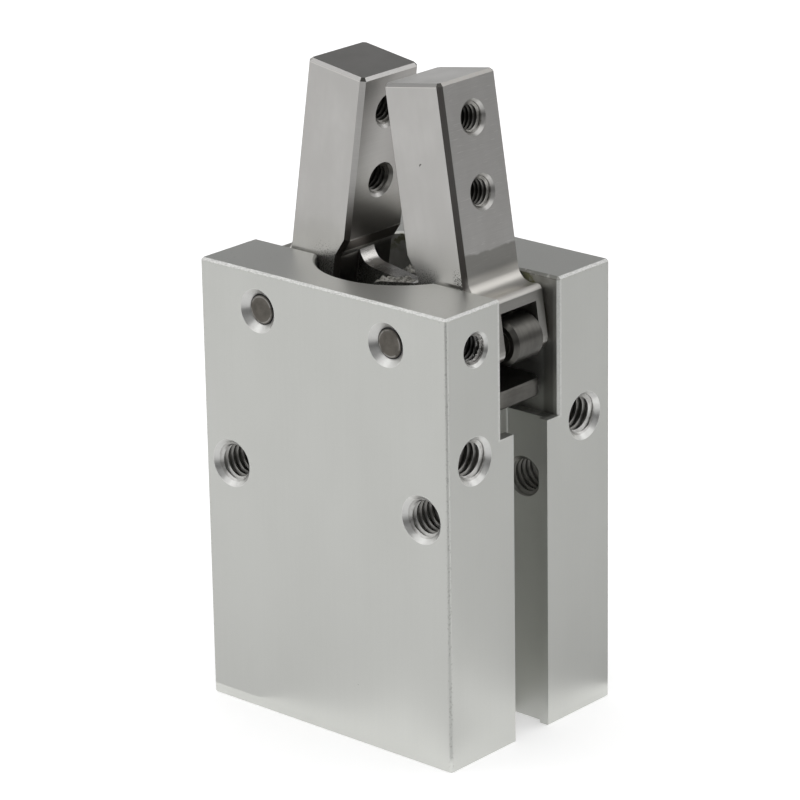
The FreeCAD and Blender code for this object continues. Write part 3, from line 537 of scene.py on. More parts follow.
def film_inside(f, at, colours, cloud, undercut):
    """Rubbed and filmed inner face of a jaw, the film heavier low down, with painted shade on its chamfers and
    undercut, a painted highlight line at its heel, and painted shade low towards the foot.
    """
    polish = f.times(at.on_inside, f.from_to(at.up, *POLISH_UP), f.from_to(at.aside, *POLISH_ASIDE), 0.25)
    f.paint(polish, colours.finger_polish_and_highlight)
    # The chamfers beside the inner and outer faces and the downward undercut take the film colour: painted shade.
    edge_in = f.times(f.from_to(at.outward, -0.5, -0.6), f.from_to(at.outward, -0.88, -0.8))
    edge_out = f.times(f.from_to(at.outward, 0.5, 0.6), f.from_to(at.outward, 0.88, 0.8))
    thick = f.most(f.from_to(at.up, *FILM_UP), f.times(f.from_to(at.aside, *FILM_ASIDE), 0.55))
    film = f.most(
        f.times(at.on_inside, thick, f.between(cloud, 0.6, 1.0), 0.65),
        f.times(undercut, 0.9),
        f.times(edge_in, f.from_to(at.up, *INNER_EDGE_UP), 0.8),
        f.times(edge_out, f.between(f.from_to(at.up, *OUTER_EDGE_UP), 0.55, 0.8)))
    f.paint(film, colours.finger_film_and_shade)
    # A painted highlight: a bright line along the edge at the heel.
    heel = f.times(f.near(at.up, HEEL_UP, HEEL_LINE), at.on_inside, f.from_to(f.noise(0.35), 0.34, 0.54))
    f.paint(heel, colours.finger_polish_and_highlight)
    # Painted shade on the inner face low down, towards the foot.
    foot_shade = f.times(f.from_to(at.up, *FOOT_SHADE_UP), at.on_inside, 0.85)
    f.paint(foot_shade, colours.finger_speck_and_shade)


def wear_tip(f, at, colours):
    """Rubbed chamfers of a tip, with painted shade on the front and inner ones, a painted highlight on the outer
    one and along the front's top edge, and painted shade on one corner facet. Gives the outer chamfer and that
    facet.
    """
    sloping = f.times(f.from_to(at.normal[2], 0.4, 0.55), f.from_to(at.normal[2], 0.95, 0.85), at.at_tip)
    rubbed = f.times(sloping, f.from_to(f.noise(4.0, 3.0), 0.36, 0.5), 0.3)
    f.paint(rubbed, colours.finger_scratch)
    # Painted shade: the tip's chamfers that face the front or inward are darkened.
    tip_shade = f.most(f.from_to(at.normal[1], -0.3, -0.5), f.times(f.from_to(at.outward, -0.3, -0.5), 0.7))
    f.paint(f.times(tip_shade, sloping), colours.finger_tip_shade)
    # The outer tip chamfer is rougher and painted pale: a painted highlight.
    blunt_highlight = f.times(sloping, f.from_to(at.outward, 0.3, 0.5))
    f.paint(blunt_highlight, colours.finger_polish_and_highlight)
    # A painted highlight along the top edge of the jaw's front.
    rim = f.times(f.near(at.up, TIP_UP[1], TIP_RIM), at.on_front, 0.8)
    f.paint(rim, colours.finger_polish_and_highlight)
    # Painted shade on the corner facet that faces up and towards +X.
    corner_shade = f.times(at.at_tip, f.from_to(at.normal[2], 0.3, 0.4), f.from_to(f.size(at.normal[1]), 0.3, 0.4),
                   f.from_to(at.normal[0], 0.3, 0.4))
    f.paint(f.times(corner_shade, 0.9), colours.finger_speck_and_shade)
    return blunt_highlight, corner_shade


def pit_mark(f, at):
    """One small slanting pit."""
    across = f.less(at.out, PIT_OUT)
    above = f.less(at.up, PIT_UP)
    along = f.plus(f.times(across, math.cos(PIT_SLANT)), f.times(above, math.sin(PIT_SLANT)))
    aside = f.less(f.times(above, math.cos(PIT_SLANT)), f.times(across, math.sin(PIT_SLANT)))
    bent = f.plus(aside, f.times(along, along, PIT_CURVE))
    return f.from_to(f.reach(f.times(along, 1 / PIT_LONG), f.times(bent, 1 / PIT_WIDE)), 1.1, 0.3)


def front_dirt(f, at, side):
    """Oily specks low on a jaw's front, and all its dirt: on the right also a seam, crumbs and a pit."""
    fuzz = f.plus(f.noise(7.0, 3.0), f.times(f.from_to(at.up, *FUZZ_UP), 0.12))
    specks = f.times(f.from_to(fuzz, 0.57, 0.7), f.from_to(at.up, *SPECK_UP), f.from_to(at.out, *SPECK_OUT),
                     at.on_front, 0.55)
    if side < 0:
        return specks, specks
    seam = f.times(f.near(f.z, TOP_Z + SEAM_ABOVE_TOP, SEAM_BAND), f.from_to(at.out, *SEAM_OUT), 0.9)
    crumbs = f.times(f.from_to(fuzz, 0.57, 0.67),
                     f.from_to(at.up, *CRUMB_UP), f.from_to(at.up, *CRUMB_END_UP),
                     f.from_to(at.out, *CRUMB_OUT), f.from_to(at.out, *CRUMB_END_OUT))
    return specks, f.most(specks, f.times(f.most(seam, crumbs, pit_mark(f, at)), at.on_front, 0.9))


def finger_finish(name, colours, side):
    """Ground steel: smooth smudged sides, fine lines and scratches across the faces, oil stains low down, and
    painted shade and highlights on its chamfers, fillets, ledge and foot.
    """
    f = Finish(name, 1.0)
    at = FingerPlace(f, side)
    across = f.noise((0.5, 0.25, 9.0), 3.0, at.upright)
    along = f.noise((2.4, 2.4, 0.14), 2.0, at.upright)
    cloud = f.noise((0.3, 0.3, 0.2), 3.0)
    lines = f.plus(f.times(across, f.less(1.0, at.on_side)), f.times(along, at.on_side, 0.25))
    tone = f.plus(f.times(lines, 0.35), f.times(cloud, 0.65))
    f.colour(f.from_to(tone, 0.25, 0.68), colours.finger_dark, colours.finger_light)

    undercut = f.times(f.from_to(at.normal[2], -0.3, -0.4), at.on_inside)
    oil_outside(f, at, colours, cloud)
    film_inside(f, at, colours, cloud, undercut)
    blunt_highlight, corner_shade = wear_tip(f, at, colours)

    # The foot is lighter milled steel, painted lighter still so its fillet shows brighter: partly a painted
    # highlight.
    foot = f.times(f.from_to(at.up, *FOOT_UP), f.from_to(at.up, *FOOT_END_UP), f.from_to(at.out, *FOOT_OUT))
    f.paint(foot, colours.finger_foot_and_highlight)
    # The rounded ledge is rougher and painted pale: a painted highlight.
    ledge = f.times(f.from_to(at.outward, 0.08, 0.25), f.from_to(at.normal[2], 0.1, 0.3),
                    f.from_to(at.out, *LEDGE_OUT))
    f.paint(ledge, colours.finger_polish_and_highlight)
    arm = f.times(f.from_to(at.out, *ARM_OUT), f.from_to(at.up, *ARM_UP))
    # Painted highlight on the fillet where the inner arm joins the jaw.
    neck = f.times(arm, f.from_to(at.out, *NECK_OUT), f.from_to(f.size(at.normal[1]), 0.3, 0.1))
    f.paint(neck, colours.finger_neck_highlight)

    specks, dirt = front_dirt(f, at, side)
    f.paint(dirt, colours.finger_speck_and_shade)
    grains = f.times(f.from_to(f.noise(5.0, 3.0), 0.6, 0.68), f.from_to(at.up, *GRAIN_UP),
                     f.from_to(at.out, *GRAIN_OUT), at.on_front, 0.5)
    f.paint(grains, colours.finger_polish_and_highlight)
    lumps = f.noise(0.8)
    greased = f.times(arm, f.less(1.0, neck), f.from_to(lumps, 0.4, 0.6), 0.4)
    f.paint(greased, colours.oil_and_shade)

    rougher = f.most(f.times(specks, 0.15), f.times(undercut, 0.15), f.times(foot, 0.06), f.times(corner_shade, 0.3),
                     f.times(f.most(ledge, blunt_highlight), 0.25))
    f.roughness(f.plus(f.between(tone, 0.36, 0.28), rougher, f.times(arm, -0.05)))
    f.bump(lines, 0.002)
    f.bump(f.less(1.0, dirt), 0.01)
    f.bump(f.times(lumps, arm), 0.06)
    return f


def smear_finish(colours):
    """Grey grease with worn metal in it: wet, lumpy and grainy."""
    f = Finish("grey_grease", 0.0)
    lumps = f.noise(2.2, 3.0)
    grit = f.noise(6.0, 3.0)
    tone = f.from_to(f.plus(f.times(lumps, 0.5), f.times(grit, 0.5)), 0.4, 0.58)
    f.colour(tone, colours.smear_dark, colours.smear)
    f.roughness(f.between(lumps, 0.2, 0.45))
    f.bump(lumps, 0.12)
    f.bump(grit, 0.03)
    return f


def turned_finish(name, light, dark, roughness, rings_per_mm=9.0, axis=1):
    """Steel turned or drawn about an axis: fine rings along it, and clouds of handling."""
    f = Finish(name, 1.0)
    stretch = [0.4, 0.4, 0.4]
    stretch[axis] = rings_per_mm
    rings = f.noise(tuple(stretch), 2.0)
    cloud = f.noise(0.7, 3.0)
    tone = f.plus(f.times(rings, 0.4), f.times(cloud, 0.6))
    f.colour(f.from_to(tone, 0.34, 0.66), dark, light)
    f.roughness(f.between(tone, roughness + 0.06, roughness - 0.06))
    f.bump(rings, 0.0008)
    return f


def pivot_pin_finish(colours, radius):
    """Pin steel whose ends are faced off, with a lighter worn ring inside the rim and painted shade round the rim.
    """
    f = Finish("pivot_pin_steel", 1.0)
    from_axis = f.reach(f.less(f.size(f.x), PIVOT.x), f.less(f.z, PIVOT.z))
    turned = f.noise((1.0, 1.0, 8.0), 2.0, f.join(0.0, 0.0, from_axis))
    cloud = f.noise(1.1, 3.0)
    tone = f.plus(f.times(turned, 0.4), f.times(cloud, 0.6))
    f.colour(f.from_to(tone, 0.32, 0.68), colours.pin_dark, colours.pin_light)
    worn = f.times(f.near(from_axis, radius * 0.83, 0.09), f.from_to(cloud, 0.35, 0.55))
    f.paint(f.times(worn, 0.4), colours.finger_dark)
    # Painted shade: a dark ring round the rim of the pin's end.
    f.paint(f.from_to(from_axis, radius - 0.14, radius - 0.09), colours.screw_dark_and_shade)
    f.roughness(f.between(tone, 0.46, 0.36))
    f.bump(turned, 0.003)
    return f


def rubber_finish(colours):
    """Moulded rubber with a faint pale bloom."""
    f = Finish("seal_rubber", 0.0)
    bloom = f.noise(1.2, 4.0)
    grain = f.noise(9.0)
    f.colour(f.from_to(bloom, 0.45, 0.75), colours.rubber, colours.rubber_bloom)
    f.roughness(f.between(bloom, 0.48, 0.66))
    f.bump(grain, 0.006)
    return f


def magnet_finish(colours):
    """Bonded magnet: dark binder with metal grains."""
    f = Finish("bonded_magnet", 0.0)
    grains = f.from_to(f.noise(8.0, 3.0), 0.56, 0.66)
    f.colour(grains, colours.magnet, colours.magnet_grain)
    f.roughness(f.between(grains, 0.62, 0.35))
    f.bump(grains, 0.006)
    return f


def plastic_finish(colours):
    """Filled plastic with turned lines."""
    f = Finish("wear_plastic", 0.0)
    rings = f.noise((0.5, 0.5, 7.0), 3.0)
    f.colour(f.from_to(rings, 0.35, 0.65), colours.plastic_shade, colours.plastic)
    f.roughness(f.between(rings, 0.56, 0.44))
    f.bump(rings, 0.006)
    return f


# Threads and sinks

class Hole(NamedTuple):
    """A threaded hole, in millimetres. Its exit is its radius where it leaves the metal, 0 if it is blind."""

    mouth: Vector
    inward: Vector
    depth: float
    radius: float
    pitch: float
    sink: float
    exit: float


# Shares of a pitch at which the thread's form turns, and how far it then stands in from root to crest
THREAD_FORM = ((0.0, 1.0), (0.25, 1.0), (0.354, 0.667), (0.458, 0.333), (0.5625, 0.0), (0.6875, 0.0),
               (0.792, 0.333), (0.896, 0.667), (1.0, 1.0))
FORM_STEPS = len(THREAD_FORM) - 1
THREAD_HEIGHT = 0.5413
# How far the back of a skin lies in the solid, and how far its ends stay inside the hole, in millimetres
BURIED, START_DEPTH = 0.05, 0.004
MERGE_DISTANCE = 1e-7
SMOOTH_ANGLE = math.radians(32)


def thread_height(share):
    """How far the thread stands in at a share of its pitch."""
    share %= 1
    for (low, first), (high, second) in zip(THREAD_FORM, THREAD_FORM[1:]):
        if share <= high:
            break
    return first + (second - first) * (share - low) / (high - low)


def about(axis):
    """Two directions square to an axis: a turn from the second to the first is clockwise along it."""
    side = Z_AXIS if abs(axis.z) < 0.5 else Y_AXIS
    across = axis.cross(side).normalized()
    return across, across.cross(axis)


class CutMesh:
    """Collects the closed skins of several holes in one mesh, in metres."""

    def __init__(self, name):
        self.name = name
        self.mesh = bmesh.new()
        self.depth = self.mesh.verts.layers.float.new("cut_depth")
        self.root = self.mesh.verts.layers.float.new("root")

    def vertex(self, hole, turn, depth, radius, root=0.0):
        across, upward = about(hole.inward)
        rim = across * math.sin(turn) + upward * math.cos(turn)
        vertex = self.mesh.verts.new((hole.mouth + hole.inward * depth + rim * radius) * MM)
        vertex[self.depth] = past_sink(hole, depth)
        vertex[self.root] = root
        return vertex

    def ring(self, hole, depth, radius, columns):
        """A row of vertices once round a hole."""
        turns = [2 * math.pi * column / columns for column in range(columns + 1)]
        return [self.vertex(hole, turn, depth, radius) for turn in turns]

    def strip(self, first, second):
        """Faces between two rows of vertices."""
        for number in range(len(first) - 1):
            corners = (first[number], first[number + 1], second[number + 1], second[number])
            self.mesh.faces.new(corners)

    def finish(self, body, material, slot):
        bmesh.ops.remove_doubles(self.mesh, verts=self.mesh.verts, dist=MERGE_DISTANCE)
        bmesh.ops.dissolve_degenerate(self.mesh, edges=self.mesh.edges, dist=MERGE_DISTANCE)
        bmesh.ops.recalc_face_normals(self.mesh, faces=self.mesh.faces)
        data = smooth_mesh(self.name, self.mesh)
        data.set_sharp_from_angle(angle=SMOOTH_ANGLE)
        piece = add_object(self.name, data, material)
        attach(piece, body)


def past_sink(hole, depth):
    """How far a depth lies past the nearest sink, negative inside it."""
    past = depth - (hole.sink - hole.radius)
    if hole.exit > hole.radius:
        past = min(past, hole.depth - depth - (hole.exit - hole.radius))
    return past


def sink_radius(hole, depth, skin):
    """Radius of the bevelled mouth or exit at a depth, smaller than the thread once past it."""
    mouth = hole.sink - skin - depth
    far = hole.exit - skin - (hole.depth - depth)
    return max(mouth, far)


def cut_thread(cut, hole, skin, columns):
    """Add a threaded skin: rows follow the helix, and the sink bevels its ends."""
    crest = hole.radius - THREAD_HEIGHT * hole.pitch
    root = hole.radius - skin
    turns = math.ceil(hole.depth / hole.pitch) + 1
    last = None
    ends = []
    for number in range(-FORM_STEPS, turns * FORM_STEPS):
        whole, step = divmod(number, FORM_STEPS)
        start = (whole + THREAD_FORM[step][0]) * hole.pitch
        row = []
        for column in range(columns + 1):
            lead = hole.pitch * column / columns
            depth = min(max(start + lead, START_DEPTH), hole.depth - START_DEPTH)
            height = thread_height((depth - lead) / hole.pitch)
            radius = max(root + (crest - root) * height, sink_radius(hole, depth, skin))
            rootness = (radius - crest) / (root - crest) if radius < root else 0.0
            row.append(cut.vertex(hole, 2 * math.pi * column / columns, depth, radius, rootness))
        if last:
            cut.strip(last, row)
        else:
            ends.append(row)
        last = row
    ends.append(last)
    close_skin(cut, hole, ends, columns)


def close_skin(cut, hole, ends, columns):
    """Close a skin with a wall buried in the solid behind it."""
    bevel = hole.sink - hole.radius
    wall = [(START_DEPTH, hole.sink + BURIED), (bevel, hole.radius + BURIED)]
    if hole.exit > hole.radius:
        wall.append((hole.depth - (hole.exit - hole.radius), hole.radius + BURIED))
    wall.append((hole.depth - START_DEPTH, max(hole.exit, hole.radius) + BURIED))
    last = ends[0]
    for depth, radius in wall:
        row = cut.ring(hole, depth, radius, columns)
        cut.strip(last, row)
        last = row
    cut.strip(last, ends[1])


def cut_sink(cut, hole, skin, columns):
    """Add a plain bevelled skin from the sink's rim to the hole."""
    bevel = hole.sink - hole.radius
    first = cut.ring(hole, START_DEPTH, hole.sink - skin, columns)
    second = cut.ring(hole, bevel - skin, hole.radius, columns)
    cut.strip(first, second)
    close_skin(cut, hole._replace(depth=bevel), [first, second], columns)


def pattern(mount_name, across, along=Vector()):
    """Mouths of a bolt pattern's holes, in millimetres."""
    mount = MOUNTS[mount_name]
    middle = Vector(mount["pos_m"]) * PER_MM
    half_across = mount["dims"]["spacing_x_mm"] / 2
    half_along = mount["dims"].get("spacing_y_mm", 0) / 2
    signs = (-1, 1) if half_along else (0,)
    return [middle + across * half_across * a + along * half_along * b for a in (-1, 1) for b in signs]


def mount_holes(mount_name, mouths, depth, pitch, sink, opens=False):
    mount = MOUNTS[mount_name]
    dims = mount["dims"]
    radius = dims.get("hole_r_mm", dims.get("r_mm"))
    inward = -Vector(mount["axis"])
    exit_radius = radius if opens else 0.0
    return [Hole(mouth, inward, depth * PER_MM, radius, pitch * PER_MM, sink * PER_MM, exit_radius)
            for mouth in mouths]


# Grease on the fingers' inner arms

class Smear(NamedTuple):
    """A lump of grease, in millimetres: its reach out from the pivot and across the arm, and its height."""

    out: tuple
    aside: tuple
    height: float


SMEARS = {
    "grease_near_tine": Smear((-10.2, -4.6), (-2.34, -1.16), 0.62),
    "grease_far_tine": Smear((-10.2, -7.6), (1.16, 2.34), 0.8),
}
SMEAR_STEPS_OUT, SMEAR_STEPS_ASIDE = 56, 20
# Rise of a lump from its rim along and across the arm, its lumps to the millimetre, and what its rim loses
SMEAR_RISE_ALONG, SMEAR_RISE_ACROSS = 6, 5
SMEAR_LUMPS, SMEAR_LOSS = 1.7, 0.16
# Millimetres from the steel to a lump's underside and lowest rim, and from the pivot up to the rays' start
SMEAR_SINK = 0.05
SMEAR_LOWEST = -SMEAR_SINK * 0.9
SMEAR_START_UP = 5.5


def surface_of(name):
    """A CAD node's surface at rest, to be searched by rays."""
    data = frame["nodes"][name].data
    corners = [vertex.co for vertex in data.vertices]
    return BVHTree.FromPolygons(corners, [face.vertices for face in data.polygons])


def lay_smear(name, smear, surface, material):
    """Closed lump that lies on the right finger's arm, thin and ragged at its rim."""
    upward = Vector((-JAW_OUTWARD.z, 0, JAW_OUTWARD.x))
    mesh = bmesh.new()
    tops, bottoms = [], []
    for row in range(SMEAR_STEPS_OUT + 1):
        along = row / SMEAR_STEPS_OUT
        tops.append([])
        bottoms.append([])
        for column in range(SMEAR_STEPS_ASIDE + 1):
            across = column / SMEAR_STEPS_ASIDE
            out = smear.out[0] + (smear.out[1] - smear.out[0]) * along
            aside = smear.aside[0] + (smear.aside[1] - smear.aside[0]) * across
            start = PIVOT + JAW_OUTWARD * out + Y_AXIS * aside + upward * SMEAR_START_UP
            place = surface.ray_cast(start * MM, -upward)[0]
            if place is None:
                raise RuntimeError(f"{name} has nothing under it at {out:.2f}, {aside:.2f}")
            full_along = min(min(along, 1 - along) * SMEAR_RISE_ALONG, 1)
            full_across = min(min(across, 1 - across) * SMEAR_RISE_ACROSS, 1)
            lump = 0.5 + 0.5 * noise.fractal(start * SMEAR_LUMPS, 1.0, 2.0, 3)
            height = smear.height * (full_along * full_across * lump - SMEAR_LOSS)
            tops[-1].append(mesh.verts.new(place + upward * max(height, SMEAR_LOWEST) * MM))
            bottoms[-1].append(mesh.verts.new(place - upward * SMEAR_SINK * MM))
    close_lump(mesh, tops, bottoms)
    piece = add_object(name, smooth_mesh(name, mesh), material)
    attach(piece, "finger_right")


def close_lump(mesh, tops, bottoms):
    """Faces of a lump between two grids of vertices."""
    for rows in (tops, bottoms):
        for first, second in zip(rows, rows[1:]):
            for number in range(len(first) - 1):
                mesh.faces.new((first[number], first[number + 1], second[number + 1], second[number]))
    rims = []
    for rows in (tops, bottoms):
        right = [row[-1] for row in rows[1:]]
        left = [row[0] for row in rows[1:-1]]
        rims.append(rows[0] + right + rows[-1][-2::-1] + left[::-1])
    for number, vertex in enumerate(rims[0]):
        last = number - 1
        mesh.faces.new((rims[0][last], vertex, rims[1][number], rims[1][last]))
    bmesh.ops.recalc_face_normals(mesh, faces=mesh.faces)


# Operators

class GripperOperator(bpy.types.Operator):
    """Shared settings of the gripper's operators"""

    bl_options = {"REGISTER", "UNDO"}

    @property
    def sizes(self):
        return bpy.context.scene.gripper_sizes

    @property
    def colours(self):
        return bpy.context.scene.gripper_colours

    def threads(self, name, holes, body, material, slot):
        cut = CutMesh(name)
        for hole in holes:
            cut_thread(cut, hole, self.sizes.skin * PER_MM, self.sizes.columns)
        cut.finish(body, material, slot)


class GRIPPER_OT_body(GripperOperator):
    """Finish the anodised body"""

    bl_idname = "gripper.body"
    bl_label = "Body"

    def execute(self, context):
        dress(body_finish(self.colours, self.sizes), "body_block")
        return {"FINISHED"}


class GRIPPER_OT_body_threads(GripperOperator):
    """Cut the threads and bevelled mouths of the body's holes"""

    bl_idname = "gripper.body_threads"
    bl_label = "Body threads"

    def execute(self, context):
        s = self.sizes
        c = self.colours
        metal = cut_finish("cut_aluminium", c.cut_light, c.cut_light, c.cut_dark, c.cut_deep_shade).material
        plans = (
            ("front_threads", pattern("front_threads", X_AXIS), s.front_depth, True),
            ("back_threads", pattern("back_threads", X_AXIS), s.front_depth, True),
            ("right_side_threads", pattern("right_side_threads", Y_AXIS), s.side_depth, False),
            ("base_threads", pattern("base_threads", X_AXIS, Y_AXIS), s.base_depth, False),
        )
        for name, mouths, depth, opens in plans:
            holes = mount_holes(name, mouths, depth, s.mount_pitch, s.mount_sink, opens)
            self.threads(name, holes, "body", metal, "anodised_body")
        ports = []
        for name in ("closing_port", "opening_port"):
            mouth = Vector(MOUNTS[name]["pos_m"]) * PER_MM
            mouth.x = -SIDE_X
            ports += mount_holes(name, [mouth], s.port_depth, s.port_pitch, s.port_sink)
        self.threads("air_port_threads", ports, "body", metal, "anodised_body")

        locked = cut_finish("locked_thread", c.cut_light, c.cut_dark, c.screw_light, c.screw_dark_and_shade,
                            c.thread_lock).material
        middle = (SET_SCREW_LOW + SET_SCREW_HIGH) / 2
        radius = (SET_SCREW_HIGH.y - SET_SCREW_LOW.y) / 2
        screws = []
        for side in (-1, 1):
            mouth = Vector((side * SIDE_X, middle.y, middle.z))
            depth = SIDE_X - SET_SCREW_HIGH.x
            screws.append(Hole(mouth, X_AXIS * -side, depth, radius, s.small_pitch * PER_MM,
                               s.set_screw_sink * PER_MM, 0.0))
        self.threads("set_screw_threads", screws, "body", locked, "anodised_body")

        cut = CutMesh("pivot_sinks")
        for side in (-1, 1):
            for face in (-1, 1):
                mouth = Vector((side * PIVOT.x, face * FACE_Y, PIVOT.z))
                hole = Hole(mouth, Y_AXIS * -face, 0.0, s.pivot_pin * PER_MM, 0.0, s.pivot_sink * PER_MM, 0.0)
                cut_sink(cut, hole, s.skin * PER_MM, s.columns)
        cut.finish("body", metal, "anodised_body")
        return {"FINISHED"}


class GRIPPER_OT_fingers(GripperOperator):
    """Finish the ground fingers"""

    bl_idname = "gripper.fingers"
    bl_label = "Fingers"

    def execute(self, context):
        for side, word in ((1, "right"), (-1, "left")):
            finish = finger_finish(f"ground_steel_{word}", self.colours, side)
            dress(finish, f"finger_{word}")
        return {"FINISHED"}


class GRIPPER_OT_finger_threads(GripperOperator):
    """Cut the threads through the jaws"""

    bl_idname = "gripper.finger_threads"
    bl_label = "Finger threads"

    def execute(self, context):
        s = self.sizes
        c = self.colours
        metal = cut_finish("cut_steel", c.finger_light, c.finger_cut_light, c.finger_cut_dark,
                           c.finger_speck_and_shade).material
        for word in ("right", "left"):
            holes = []
            for place in ("tip", "foot"):
                mount = MOUNTS[f"{word}_finger_thread_{place}"]
                outward = Vector(mount["axis"]).normalized()
                depth = s.jaw_depth * PER_MM
                mouth = Vector(mount["pos_m"]) * PER_MM + outward * (depth / 2)
                holes.append(Hole(mouth, -outward, depth, mount["dims"]["r_mm"], s.small_pitch * PER_MM,
                                  s.finger_sink * PER_MM, s.finger_sink * PER_MM))
            self.threads(f"finger_threads_{word}", holes, f"finger_{word}", metal, "finger_steel")
        return {"FINISHED"}


class GRIPPER_OT_grease(GripperOperator):
    """Lay grease on the right finger's inner arms"""

    bl_idname = "gripper.grease"
    bl_label = "Grease"

    def execute(self, context):
        material = smear_finish(self.colours).material
        surface = surface_of("finger_right")
        for name, smear in SMEARS.items():
            lay_smear(name, smear, surface, material)
        return {"FINISHED"}


class GRIPPER_OT_pins(GripperOperator):
    """Finish the pins, rollers and rod"""

    bl_idname = "gripper.pins"
    bl_label = "Pins and rollers"

    def execute(self, context):
        c = self.colours
        dress(pivot_pin_finish(c, self.sizes.pivot_pin * PER_MM), "pivot_pin_right", "pivot_pin_left")
        dress(turned_finish("pin_steel", c.pin_light, c.pin_dark, 0.42),
              "roller_pin_right", "roller_pin_left", "centre_pin")
        dress(turned_finish("roller_steel", c.roller_light, c.roller_dark, 0.34, rings_per_mm=3.0),
              "side_roller_right", "side_roller_left")
        dress(turned_finish("rod_steel", c.finger_light, c.finger_dark, 0.25, axis=2), "piston_rod")
        return {"FINISHED"}


class GRIPPER_OT_pistons(GripperOperator):
    """Finish the pistons, end cap, seals, magnet and wear ring"""

    bl_idname = "gripper.pistons"
    bl_label = "Pistons and seals"

    def execute(self, context):
        c = self.colours
        dress(turned_finish("hard_anodised", c.piston_light, c.piston_dark, 0.42, rings_per_mm=4.0, axis=2),
              "lower_piston", "upper_piston", "end_cap")
        dress(rubber_finish(c),
              "lower_piston_seal", "upper_piston_seal", "rod_seal", "end_cap_seal", "bumper")
        dress(magnet_finish(c), "magnet_ring")
        dress(plastic_finish(c), "wear_ring")
        return {"FINISHED"}


class GRIPPER_OT_screws(GripperOperator):
    """Finish the blackened screws and retaining ring"""

    bl_idname = "gripper.screws"
    bl_label = "Screws"

    def execute(self, context):
        c = self.colours
        dress(turned_finish("black_oxide", c.screw_light, c.screw_dark_and_shade, 0.4, axis=2),
              "pivot_set_screws", "rod_screw", "retaining_ring")
        return {"FINISHED"}


class GRIPPER_OT_stage(GripperOperator):
    """Set up the floor, studio light and camera"""

    bl_idname = "gripper.stage"
    bl_label = "Stage"

    def execute(self, context):
        stage = context.scene.gripper_stage
        make_floor(stage)
        for name, turns, profile in CARDS:
            make_card(name, turns, profile)
        make_room(stage)
        make_lamp("key_lamp", KEY_PLACE, stage.key_power)
        make_lamp("back_lamp", BACK_PLACE, stage.back_power)
        make_camera(stage)
        context.scene.view_settings.view_transform = "Standard"
        return {"FINISHED"}


# Stage, in metres and degrees

FLOOR_HALF = 3.0
LAMP_SIZE = 0.4
KEY_PLACE = Vector((-0.40, -0.29, 0.60))
BACK_PLACE = Vector((0.25, 0.53, 0.52))
SENSOR_MM = 36.0
CLIP_START = 0.01
CARD_STEPS = 24
CARD_LIFT = 0.001


def flat(*steps):
    """Profile of a card on the floor, from steps of reach and tone."""
    return tuple((reach, CARD_LIFT, tone) for reach, tone in steps)


def upright(reach, *steps):
    """Profile of a card that stands at one reach, from steps of height and tone."""
    return tuple((reach, height, tone) for height, tone in steps)


# Grey cards that only show in the metal: the turns each spans, and its profile of reach, height and tone
CARDS = (
    ("back_card", (72, 185),
     (*upright(0.45, (0.0, 0.80), (0.12, 0.73), (0.155, 0.45), (0.19, 0.265), (0.25, 0.19), (0.32, 0.12),
               (0.45, 0.11)), (0.40, 0.70, 0.11))),
    ("right_card", (15, 70), upright(0.30, (0.0, 0.265), (0.12, 0.265))),
    ("right_floor_card", (10, 85), flat((0.02, 0.52), (0.05, 0.62), (0.10, 0.69), (0.28, 0.70))),
    ("front_floor_card", (-188, -88),
     flat((0.015, 0.70), (0.06, 0.775), (0.13, 0.84), (0.18, 0.71), (0.60, 0.69))),
    ("camera_card", (-87, -8),
     (*flat((0.02, 0.70), (0.10, 0.68), (0.135, 0.62), (0.18, 0.22), (0.30, 0.08), (0.45, 0.05)),
      *upright(0.45, (0.10, 0.05), (0.20, 0.30), (0.32, 0.30)), (0.43, 0.40, 0.05), (0.40, 0.55, 0.05))),
    ("rear_floor_card", (95, 170), flat((0.03, 0.44), (0.30, 0.60))),
    ("key_card", (-200, -105),
     upright(0.80, (0.45, 0.90), (0.55, 0.50), (0.64, 0.28), (0.80, 0.10), (1.30, 0.10))),
    ("back_lamp_card", (30, 72), upright(0.75, (0.38, 0.60), (0.50, 0.25), (0.60, 0.40), (1.10, 0.40))),
)


def bare_material(name):
    """New material and its nodes, which are only its output."""
    material = bpy.data.materials.new(name)
    material.use_nodes = True
    tree = material.node_tree
    tree.nodes.remove(tree.nodes["Principled BSDF"])
    return material, tree


def add_node(tree, kind, *sources, **values):
    """New node: sources go to its first inputs in order, and values are set on its inputs by name."""
    node = tree.nodes.new(kind)
    for source, socket in zip(sources, node.inputs):
        tree.links.new(source, socket)
    for name, value in values.items():
        node.inputs[name].default_value = value
    return node


def seen_rays(tree):
    """1 for rays from the camera, a reflection or a see-through surface."""
    path = add_node(tree, "ShaderNodeLightPath")
    total = path.outputs["Is Camera Ray"]
    for name in ("Is Glossy Ray", "Is Transmission Ray"):
        add = add_node(tree, "ShaderNodeMath", total, path.outputs[name])
        add.operation = "ADD"
        add.use_clamp = True
        total = add.outputs[0]
    return total


def make_floor(stage):
    data = bpy.data.meshes.new("floor")
    signs = ((-1, -1), (1, -1), (1, 1), (-1, 1))
    corners = [(x * FLOOR_HALF, y * FLOOR_HALF, CAD_BOX[0].z) for x, y in signs]
    data.from_pydata(corners, [], [(0, 1, 2, 3)])
    material, tree = bare_material("pale_floor")
    matt = add_node(tree, "ShaderNodeBsdfDiffuse", Color=(*stage.floor_tone, 1.0))
    level = add_node(tree, "ShaderNodeMath", seen_rays(tree))
    level.operation = "MULTIPLY"
    level.inputs[1].default_value = stage.floor_white
    glow = add_node(tree, "ShaderNodeEmission")
    tree.links.new(level.outputs[0], glow.inputs["Strength"])
    both = add_node(tree, "ShaderNodeAddShader", matt.outputs[0], glow.outputs[0])
    tree.links.new(both.outputs[0], tree.nodes["Material Output"].inputs["Surface"])
    floor = add_object("floor", data, material)


